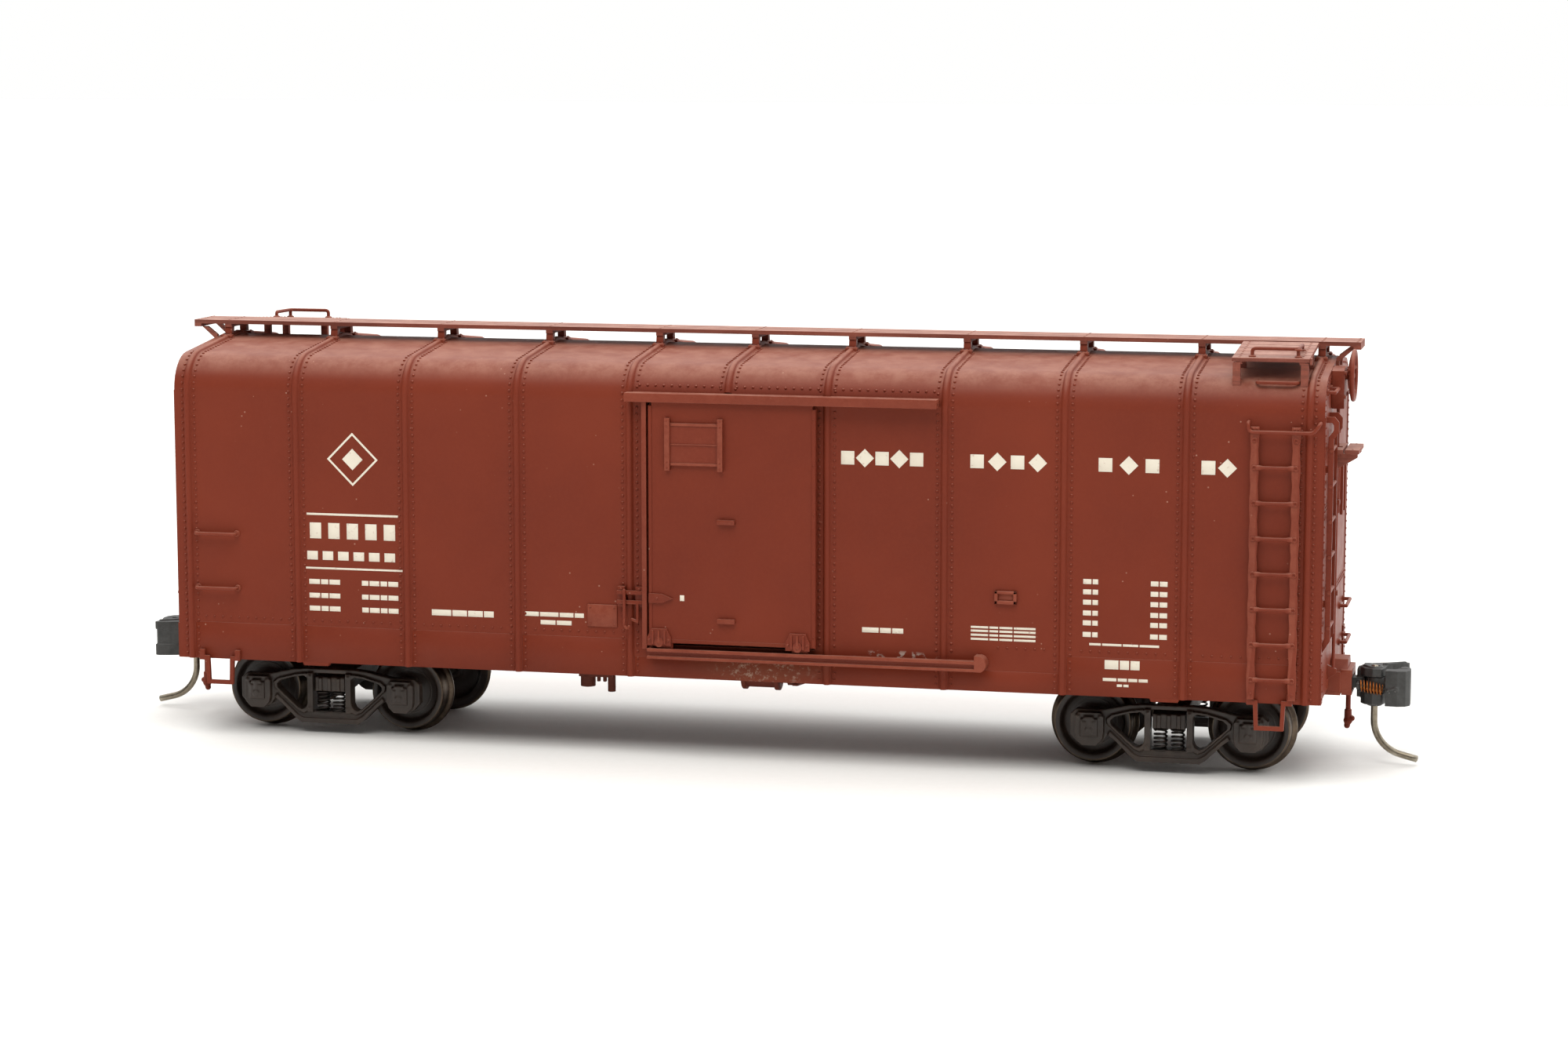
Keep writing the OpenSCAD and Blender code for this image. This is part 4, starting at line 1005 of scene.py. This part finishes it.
def roof_grab():
    m = M()
    lat_top = lambda y: 50.95 + (y + 15.6) * tan(rad(4.2))
    z1 = 52.0
    tube(m, bent([(63.2, -14.6, lat_top(-14.6)), (63.2, -14.6, z1), (68.6, -14.6, z1), (68.6, -9.6, z1 + 0.08), (68.6, -9.6, lat_top(-9.6))], 0.55), 0.22, 14, cap=0)
    tube(m, [(68.6, -14.6, lat_top(-14.6)), (68.6, -14.6, 51.5), (68.6, -14.6, z1)], 0.22, 12)
    # eye at the corner
    vs, rows = [], []
    for i in range(20):
        a = 2 * pi * i / 20
        for k in range(8):
            b = 2 * pi * k / 8
            r = 0.38 + 0.13 * cos(b)
            vs.append((68.6 + r * cos(a), -14.6 + r * sin(a), z1 - 0.08 + 0.13 * sin(b)))
    fs = [(i * 8 + k, ((i + 1) % 20) * 8 + k, ((i + 1) % 20) * 8 + (k + 1) % 8, i * 8 + (k + 1) % 8) for i in range(20) for k in range(8)]
    m.add(vs, fs)
    for x, y in ((63.2, -14.6), (68.6, -14.6), (68.6, -9.6)):
        lathe(m, [(0, -0.02), (0.45, -0.02), (0.45, 0.1), (0.32, 0.2), (0, 0.22)], (x, y, lat_top(y)), (0, 0, 1), 12)
    return m


piece(roof_grab().turned(), "roof_grab_irons_v", TRIM, "car_body", ("roof_grab_irons",), angle=45)

# roof walk and lateral walks, with their bolt heads
wk = M()
for x in RIBS + [0.0, 74.55, -74.55]:
    for y in (-2.1, 0.0, 2.1):
        for dy in (-0.45, 0.45):
            rivet(wk, (x, y + dy, 51.95), (0, 0, 1), 0.14, 0.07)
refine("roof_walk", "car_body", WALK, 0.06, 2, extra=wk)
for node, s in (("lateral_walk_right", 1), ("lateral_walk_left", -1)):
    ex = M()
    for x in (61.75, 69.15):
        for i in range(5):
            y = -15.6 + (2.294 + 0.22) * i + 1.147
            for dy in (-0.55, 0.55):
                z = 50.95 + (y + dy + 15.6) * tan(rad(4.2))
                rivet(ex, (x, y + dy, z), (0, -sin(rad(4.2)), cos(rad(4.2))), 0.15, 0.08)
    for x in (61.45, 69.45):
        # foot of the bracket on the eave
        a = rad(62)
        cy, cz = -(ARC_Y + ER * cos(a)), EAVE + ER * sin(a)
        cbox(ex, (x - 0.55, cy - 0.25, cz - 0.35), (x + 0.55, cy + 0.55, cz + 0.3), 0.12)
        hexbolt(ex, (x, cy - 0.25, cz + 0.02), (0, -1, 0.2), 0.24, 0.2)
    if s < 0:
        ex.half_turn()
    refine(node, "car_body", WALK, 0.06, 2, extra=ex)

# ------------------------------------------------------------------ hand brake
bp = M()
for y in (-9.3, -3.3):
    for x in (HX + 0.5, HX + 2.7):
        rivet(bp, (x, y, 39.7), (0, 0, 1), 0.14, 0.09)
refine("brake_platform", "car_body", WALK, 0.07, 2, extra=bp)


def brake_wheel():
    m = M()
    c = Vector((HX + 2.45, -6.6, 48.3))
    # rim, rounded
    n, k = 64, 12
    vs = []
    for i in range(n):
        a = 2 * pi * i / n
        for j in range(k):
            b = 2 * pi * j / k
            r = 2.85 + 0.3 * cos(b)
            vs.append((c.x + 0.28 * sin(b), c.y + r * cos(a), c.z + r * sin(a)))
    m.add(vs, [(i * k + j, ((i + 1) % n) * k + j, ((i + 1) % n) * k + (j + 1) % k, i * k + (j + 1) % k) for i in range(n) for j in range(k)])
    lathe(m, [(0, 0.0), (0.54, 0.0), (0.54, 1.05), (0.72, 1.15), (0.9, 1.3), (0.9, 1.62), (0.7, 1.82), (0.42, 1.84), (0.4, 1.76), (0, 1.76)], (HX + 0.65, -6.6, 48.3), (1, 0, 0), 28)
    lathe(m, [(0, 0), (0.3, 0), (0.3, 0.12), (0.22, 0.18), (0, 0.18)], (HX + 2.38, -6.6, 48.3), (1, 0, 0), 6)
    for i in range(5):
        a = rad(i * 72 + 18)
        pts, rs = [], []
        for t in (0.0, 0.2, 0.5, 0.8, 1.0):
            r = 0.75 + (2.72 - 0.75) * t
            dx = 2.0 + 0.4 * t - 0.12 * sin(pi * t)
            pts.append((HX + dx, c.y + r * cos(a), c.z + r * sin(a)))
            rs.append(0.27 - 0.08 * sin(pi * min(t, 1)))
        tube(m, pts, rs, 10, cap=0)
    return m


piece(brake_wheel(), "brake_wheel_v", TRIM, "brake_wheel", ("brake_wheel",), angle=45)

# ------------------------------------------------------------------ underneath and inside
refine("floor_plate", "car_body", UNDER, 0.0)
refine("underframe", "car_body", FRAME_P, 0.1, 2)
refine("steel_weight", "car_body", WEIGHT, 0.12, 2)
soften("brake_cylinder", "car_body", FRAME_P, 0.08, 1)
refine("air_reservoir", "car_body", FRAME_P, 0.0)
soften("control_valve", "car_body", FRAME_P, 0.07, 2)
soften("brake_levers", "car_body", FRAME_P, 0.07, 1)
refine("train_line", "car_body", FRAME_P, 0.0)
refine("box_lid_screws", "car_body", SCREW, 0.05, 2)
refine("truck_screws", "car_body", SCREW, 0.05, 2)
refine("centring_springs", "car_body", BRONZE, 0.02, 1)

# ------------------------------------------------------------------ trucks
for end, bod, tx in (("brake", "brake_end_truck", TRUCK_X), ("plain", "plain_end_truck", -TRUCK_X)):
    ex = M()
    for s in (-1, 1):
        for d in (-HB, HB):
            # lid: a raised panel with its hinge lug
            cx = tx + d
            cbox(ex, (cx - 0.8, -13.47, 4.55), (cx + 0.8, -13.3, 6.25), 0.07)
            cbox(ex, (cx - 0.26, -13.58, 5.2), (cx + 0.26, -13.3, 6.85), 0.1)
            for dx in (-1.3, 1.3):
                rivet(ex, (cx + dx, -13.0, 6.75), (0, -1, 0), 0.2, 0.2)
        for dx in (-2.55, 2.55):
            for dz in (3.3, 7.45):
                rivet(ex, (tx + dx, -12.7, dz), (0, -1, 0), 0.2, 0.16)
        # turn about the truck's own middle for the other side
        if s < 0:
            o = list(ex.v)
            ex.v = [(2 * tx - x, -y, z) for x, y, z in o]
    # near and far lids
    both = M()
    both.v, both.f, both.mi = list(ex.v), list(ex.f), list(ex.mi)
    soften("truck_%s_end_sideframes" % end, bod, TRUCK, 0.1, 2, extra=both)
    soften("truck_%s_end_bolster" % end, bod, TRUCK, 0.1, 2)
    sp = M()
    for s in (-1, 1):
        for d in (-1.05, 1.05):
            turns, z0, z1 = 4.6, 2.98, 5.28
            pts = []
            N = int(turns * 18)
            for i in range(N + 1):
                t = i / N
                a = 2 * pi * turns * t + (0 if d < 0 else pi)
                r = 0.76 - 0.07 * (abs(2 * t - 1) ** 3)
                pts.append((tx + d + r * cos(a), s * 11.7 + r * sin(a), z0 + (z1 - z0) * t))
            tube(sp, pts, 0.125, 8)
            for z in (2.85, 5.3):
                lathe(sp, [(0, 0), (0.9, 0), (0.9, 0.1), (0.8, 0.12), (0, 0.12)], (tx + d, s * 11.7, z), (0, 0, 1), 20)
    piece(sp, "truck_springs_%s_end" % end, SPRING, bod, ("truck_%s_end_springs" % end,), angle=50)

# ------------------------------------------------------------------ wheelsets
for k, x in ((1, -TRUCK_X - HB), (2, -TRUCK_X + HB), (3, TRUCK_X - HB), (4, TRUCK_X + HB)):
    m = M()
    for s in (-1, 1):
        fl, tr, w = 5.45, 4.815, 2.79
        prof = [(0.93, 0.45), (1.25, 0.45), (1.42, 0.52), (1.55, 0.8), (1.8, 0.92), (3.45, 0.78), (3.75, 0.62), (4.0, 0.15), (4.15, 0.0),
                (fl - 0.32, 0.0), (fl - 0.12, 0.06), (fl - 0.01, 0.2), (fl, 0.32), (fl - 0.04, 0.45), (fl - 0.2, 0.6), (tr + 0.16, 0.7), (tr + 0.06, 0.82),
                (tr, 1.5), (tr - 0.05, w - 0.12), (tr - 0.13, w - 0.02), (tr - 0.25, w), (4.12, w), (3.98, w - 0.08), (3.88, w - 0.35), (3.72, 1.85), (3.5, 1.68),
                (1.95, 1.92), (1.7, 2.1), (1.55, w - 0.2), (1.42, w - 0.1), (0.93, w - 0.1)]
        mis = []
        for (r0, h0), (r1, h1) in zip(prof, prof[1:] + prof[:1]):
            bright = (min(r0, r1) > tr - 0.3 and max(h0, h1) > 0.03) or (min(r0, r1) > fl - 0.4)
            mis.append(1 if bright else 0)
        lathe(m, prof, (x, s * 7.2, AXLE_Z), (0, s, 0), 96, closed=True, mis=mis)
        # machined ring and the raised rim on the outer face
        lathe(m, [(2.75, 0.0), (2.95, 0.0), (2.95, 0.05), (2.85, 0.08), (2.75, 0.05)], (x, s * (7.2 + 1.78), AXLE_Z), (0, s, 0), 72, closed=True)
    ax = [(0, -12.55), (0.18, -12.55), (0.95, -10.55), (0.95, -7.0), (0.8, -6.4), (0.7, -2.0), (0.7, 2.0), (0.8, 6.4), (0.95, 7.0), (0.95, 10.55), (0.18, 12.55), (0, 12.55)]
    lathe(m, ax, (x, 0, AXLE_Z), (0, 1, 0), 32, mi=2)
    piece(m, "wheelset_%d_v" % k, [WHEEL, TREAD, AXLE], "wheelset_%d" % k, ("wheelset_%d" % k,), angle=50)

# ------------------------------------------------------------------ couplers
KPX, KPY, KSY = 77.4, -0.9, -2.7


def trip_pin():
    m = M()
    pts = [(KPX, KPY, 12.28), (KPX, KPY, 11.4), (KPX, KPY, 9.0), (KPX, KPY, 7.2), (KPX, KPY, 6.1)]
    br = 4.3
    for i in range(13):
        a = rad(76) * i / 12
        pts.append((KPX + br - br * cos(a), KPY, 5.6 - br * sin(a)))
    ex, ez = sin(rad(76)), cos(rad(76))
    px, pz = pts[-1][0], pts[-1][2]
    for d in (0.7, 1.4, 2.05):
        pts.append((px + d * ex, KPY, pz - d * ez))
    tube(m, pts, 0.415, 20, cap=0.35)
    return m


def knuckle_spring():
    m = M()
    turns, x0, x1 = 7.2, 75.72, 78.45
    pts = []
    N = int(turns * 18)
    for i in range(N + 1):
        t = i / N
        a = 2 * pi * turns * t
        r = 0.68 - 0.12 * (abs(2 * t - 1) ** 4)
        pts.append((x0 + (x1 - x0) * t, KSY + 0.0 - 0.06 * t + r * cos(a), 10.1 - 0.45 * t + r * sin(a)))
    tube(m, pts, 0.095, 8)
    return m


def coupler_extra():
    m = M()
    # ring round the pivot on top and below, and a lug on top of the head
    for z, s in ((12.1, 1), (7.6, -1)):
        lathe(m, [(0.52, 0), (0.95, 0), (0.95, 0.12), (0.85, 0.2), (0.6, 0.2), (0.52, 0.14)], (KPX, KPY, z), (0, 0, s), 24, closed=True)
    slab(m, [(78.2, 0.9), (78.9, 0.9), (81.0, 2.9), (80.7, 3.1), (78.2, 1.5)], 2, 12.05, 12.3, 0.05)
    slab(m, [(75.9, -0.6), (76.5, -1.2), (76.9, -0.2), (76.9, 0.9), (76.0, 0.7)], 2, 12.05, 12.35, 0.08)
    cbox(m, (75.25, -0.55, 11.6), (76.3, 0.75, 12.0), 0.15)
    # seat for the spring's fixed end
    tube(m, [(75.6, -1.6, 10.1), (75.62, -2.2, 10.1), (75.9, KSY, 10.1), (76.3, KSY, 10.05)], 0.16, 10)
    return m


def knuckle_extra():
    m = M()
    # pocket and peg where the spring's free end hooks on
    tube(m, [(78.6, KSY + 0.45, 9.65), (79.2, KSY - 0.05, 9.65), (79.75, KSY - 0.08, 9.75), (79.95, KSY + 0.05, 10.0)], 0.13, 10)
    lathe(m, [(0, 0), (0.3, 0), (0.3, 0.08), (0.2, 0.14), (0, 0.14)], (80.15, -2.74, 9.75), (0.05, -1, 0), 12)
    slab(m, [(80.1, -0.9), (81.3, -0.6), (81.5, 0.2), (80.9, 0.6), (80.7, -0.3)], 2, 11.9, 12.1, 0.06)
    return m


for end, turn in (("brake", False), ("plain", True)):
    cb, kb = end + "_end_coupler", end + "_end_knuckle"
    ce, ke, tp, ks = coupler_extra(), knuckle_extra(), trip_pin(), knuckle_spring()
    if turn:
        for q in (ce, ke, tp, ks):
            q.half_turn()
    soften("coupler_%s_end" % end, cb, COUPLER, 0.07, 2, extra=ce)
    soften("knuckle_%s_end" % end, kb, COUPLER, 0.07, 2, extra=ke)
    piece(tp, "trip_pin_%s_end_v" % end, PIN, kb, ("trip_pin_%s_end" % end,), angle=60)
    so = piece(ks, "knuckle_spring_%s_end_v" % end, BRONZE, cb, ("knuckle_spring_%s_end" % end,), angle=60)
    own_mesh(so)

# ------------------------------------------------------------------ plain generic markings, no lettering
mk = M()
MY0, MY1 = -HALF - 0.022, -HALF + 0.01


def bar(x0, z0, x1, z1, y=None):
    a, b = (MY0, MY1) if y is None else (y - 0.022, y + 0.01)
    cbox(mk, (min(x0, x1), a, min(z0, z1)), (max(x0, x1), b, max(z0, z1)), 0.004)


def diamond(cx, cz, r, w):
    """Open diamond."""
    o = [(r, 0), (0, r), (-r, 0), (0, -r)]
    n = [(r - w, 0), (0, r - w), (-(r - w), 0), (0, -(r - w))]
    vs = [(cx + x, MY0, cz + z) for x, z in o + n] + [(cx + x, MY1, cz + z) for x, z in o + n]
    fs = []
    for k in range(4):
        j = (k + 1) % 4
        fs += [(k, j, 4 + j, 4 + k), (8 + k, 12 + k, 12 + j, 8 + j), (k, 8 + k, 8 + j, j), (4 + k, 4 + j, 12 + j, 12 + k)]
    mk.add(vs, fs)


def lozenge(cx, cz, r):
    vs = [(cx + x, y, cz + z) for y in (MY0, MY1) for x, z in ((r, 0), (0, r), (-r, 0), (0, -r))]
    mk.add(vs, [(0, 1, 2, 3), (7, 6, 5, 4)] + [(k, 4 + k, 4 + (k + 1) % 4, (k + 1) % 4) for k in range(4)])


def dashes(x0, x1, z, h, pieces, y=None):
    """A row of short bars whose lengths are pieces, spread between x0 and x1."""
    total = sum(pieces)
    gap = 0.16
    unit = (x1 - x0 - gap * (len(pieces) - 1)) / total
    x = x0
    for p in pieces:
        bar(x, z, x + p * unit, z + h, y)
        x += p * unit + gap


# emblem: an open diamond with a small solid one inside
diamond(-48.4, 36.0, 3.35, 0.34)
lozenge(-48.4, 36.0, 1.35)
# ruled block at the left
bar(-54.6, 28.85, -42.5, 29.12)
bar(-54.8, 22.02, -42.0, 22.26)
for i in range(5):
    bar(-54.2 + i * 2.45, 25.9, -52.7 + i * 2.45, 27.9)
for i in range(6):
    bar(-54.6 + i * 2.05, 23.2, -53.2 + i * 2.05, 24.3)
for z in (20.1, 18.35, 16.7):
    dashes(-54.4, -50.3, z, 0.62, [3, 2, 3])
    dashes(-47.4, -42.6, z, 0.62, [2, 3, 2, 3])
dashes(-38.2, -30.1, 16.7, 0.75, [4, 3, 3, 2])
dashes(-26.0, -18.4, 17.1, 0.55, [3, 4, 3, 2])
dashes(-24.0, -20.0, 16.1, 0.55, [3, 3])
# band of squares and diamonds along the right bays
for x0, x1, n in ((13.9, 24.5, 5), (29.6, 39.4, 4), (44.9, 53.3, 3), (57.4, 61.9, 2)):
    for i in range(n):
        cx = x0 + (x1 - x0) * (i + 0.5) / n
        if i % 2 == 0:
            bar(cx - 0.82, 37.15, cx + 0.82, 38.8)
        else:
            lozenge(cx, 37.98, 1.12)
dashes(16.8, 21.9, 16.7, 0.62, [3, 2, 2])
for z in (17.75, 17.3, 16.8, 16.3):
    dashes(30.2, 38.1, z, 0.26, [4, 2, 3, 5])
for z in (23.6, 22.35, 21.1, 19.8, 18.6, 17.2):
    dashes(43.8, 45.6, z, 0.6, [3, 2])
    dashes(51.9, 53.9, z, 0.6, [2, 2])
dashes(44.6, 53.0, 16.2, 0.28, [3, 5, 4, 5])
LAP = -HALF - 0.045
dashes(46.5, 50.7, 13.4, 1.1, [3, 2, 2], LAP)
dashes(46.3, 51.7, 11.95, 0.38, [3, 2, 2, 2], LAP)
dashes(48.0, 49.4, 11.3, 0.3, [2, 2], LAP)
mk.turned()
piece(mk, "side_marks", MARK, "car_body", angle=60)
md = M()
cbox(md, (-5.75, -DOOR_OUT - 0.022, 19.9), (-5.2, -DOOR_OUT + 0.01, 20.6), 0.004)
piece(md, "door_mark_right", MARK, "right_door", angle=60)
md2 = M()
cbox(md2, (-5.75, -DOOR_OUT - 0.022, 19.9), (-5.2, -DOOR_OUT + 0.01, 20.6), 0.004)
md2.half_turn()
piece(md2, "door_mark_left", MARK, "left_door", angle=60)

# ------------------------------------------------------------------ floor, light, camera
def floor():
    me = bpy.data.meshes.new("floor")
    bm = bmesh.new()
    bmesh.ops.create_grid(bm, x_segments=4, y_segments=4, size=4.0)
    bm.to_mesh(me)
    bm.free()
    ob = bpy.data.objects.new("floor", me)
    bpy.context.scene.collection.objects.link(ob)
    mat, nt, bsdf, co = nodes_of("floor_white")
    n = noise(nt, co, 900, 3)
    nt.links.new(mix(nt, fade(nt, n, 0.3, 0.7, 0.0, 0.5), (0.93, 0.925, 0.9), (0.9, 0.895, 0.865)), bsdf.inputs["Base Color"])
    bsdf.inputs["Roughness"].default_value = 0.85
    bsdf.inputs["Specular IOR Level"].default_value = 0.2
    me.materials.append(mat)


floor()


def area(name, loc, target, size, size_y, power, colour=(1, 1, 1)):
    li = bpy.data.lights.new(name, "AREA")
    li.shape = "RECTANGLE"
    li.size, li.size_y = size, size_y
    li.energy = power
    li.color = colour
    ob = bpy.data.objects.new(name, li)
    ob.location = loc
    ob.rotation_euler = (Vector(target) - Vector(loc)).to_track_quat("-Z", "Y").to_euler()
    bpy.context.scene.collection.objects.link(ob)


area("overhead", (-0.03, -0.40, 0.72), (0, 0, 0.03), 0.75, 0.5, 3.9, (1.0, 0.985, 0.955))

world = bpy.data.worlds.new("World")
bpy.context.scene.world = world
world.use_nodes = True
wn = world.node_tree
wn.nodes.clear()
wo = wn.nodes.new("ShaderNodeOutputWorld")
bg = wn.nodes.new("ShaderNodeBackground")
wn.links.new(bg.outputs[0], wo.inputs[0])
wt = wn.nodes.new("ShaderNodeTexCoord")
ws = wn.nodes.new("ShaderNodeSeparateXYZ")
wn.links.new(wt.outputs["Generated"], ws.inputs[0])
# white backdrop behind, dim in front, bright overhead
back = fade(wn, ws.outputs[1], -0.3, 0.4, 0.02, 1.0)
over = fade(wn, ws.outputs[2], 0.25, 0.85, 0.0, 1.0)
right = fade(wn, ws.outputs[0], 0.4, 0.95, 0.0, 0.8)
level = mathn(wn, "ADD", mathn(wn, "ADD", back, over), right)
bg.inputs[0].default_value = (1.0, 1.0, 0.995, 1)
wn.links.new(level, bg.inputs[1])

cam = bpy.data.cameras.new("camera")
cam.lens = 82.084
cam.sensor_width = 36
cam.sensor_fit = "HORIZONTAL"
cam.clip_start, cam.clip_end = 0.01, 20
co_ = bpy.data.objects.new("camera", cam)
co_.location = Vector((107.183, -435.939, 88.824)) * MM
look = Vector((2.972, 0.0, 27.488)) * MM
co_.rotation_euler = (look - co_.location).to_track_quat("-Z", "Y").to_euler()
bpy.context.scene.collection.objects.link(co_)
bpy.context.scene.camera = co_
bpy.context.scene.view_settings.view_transform = "Standard"
bpy.context.scene.view_settings.look = "None"
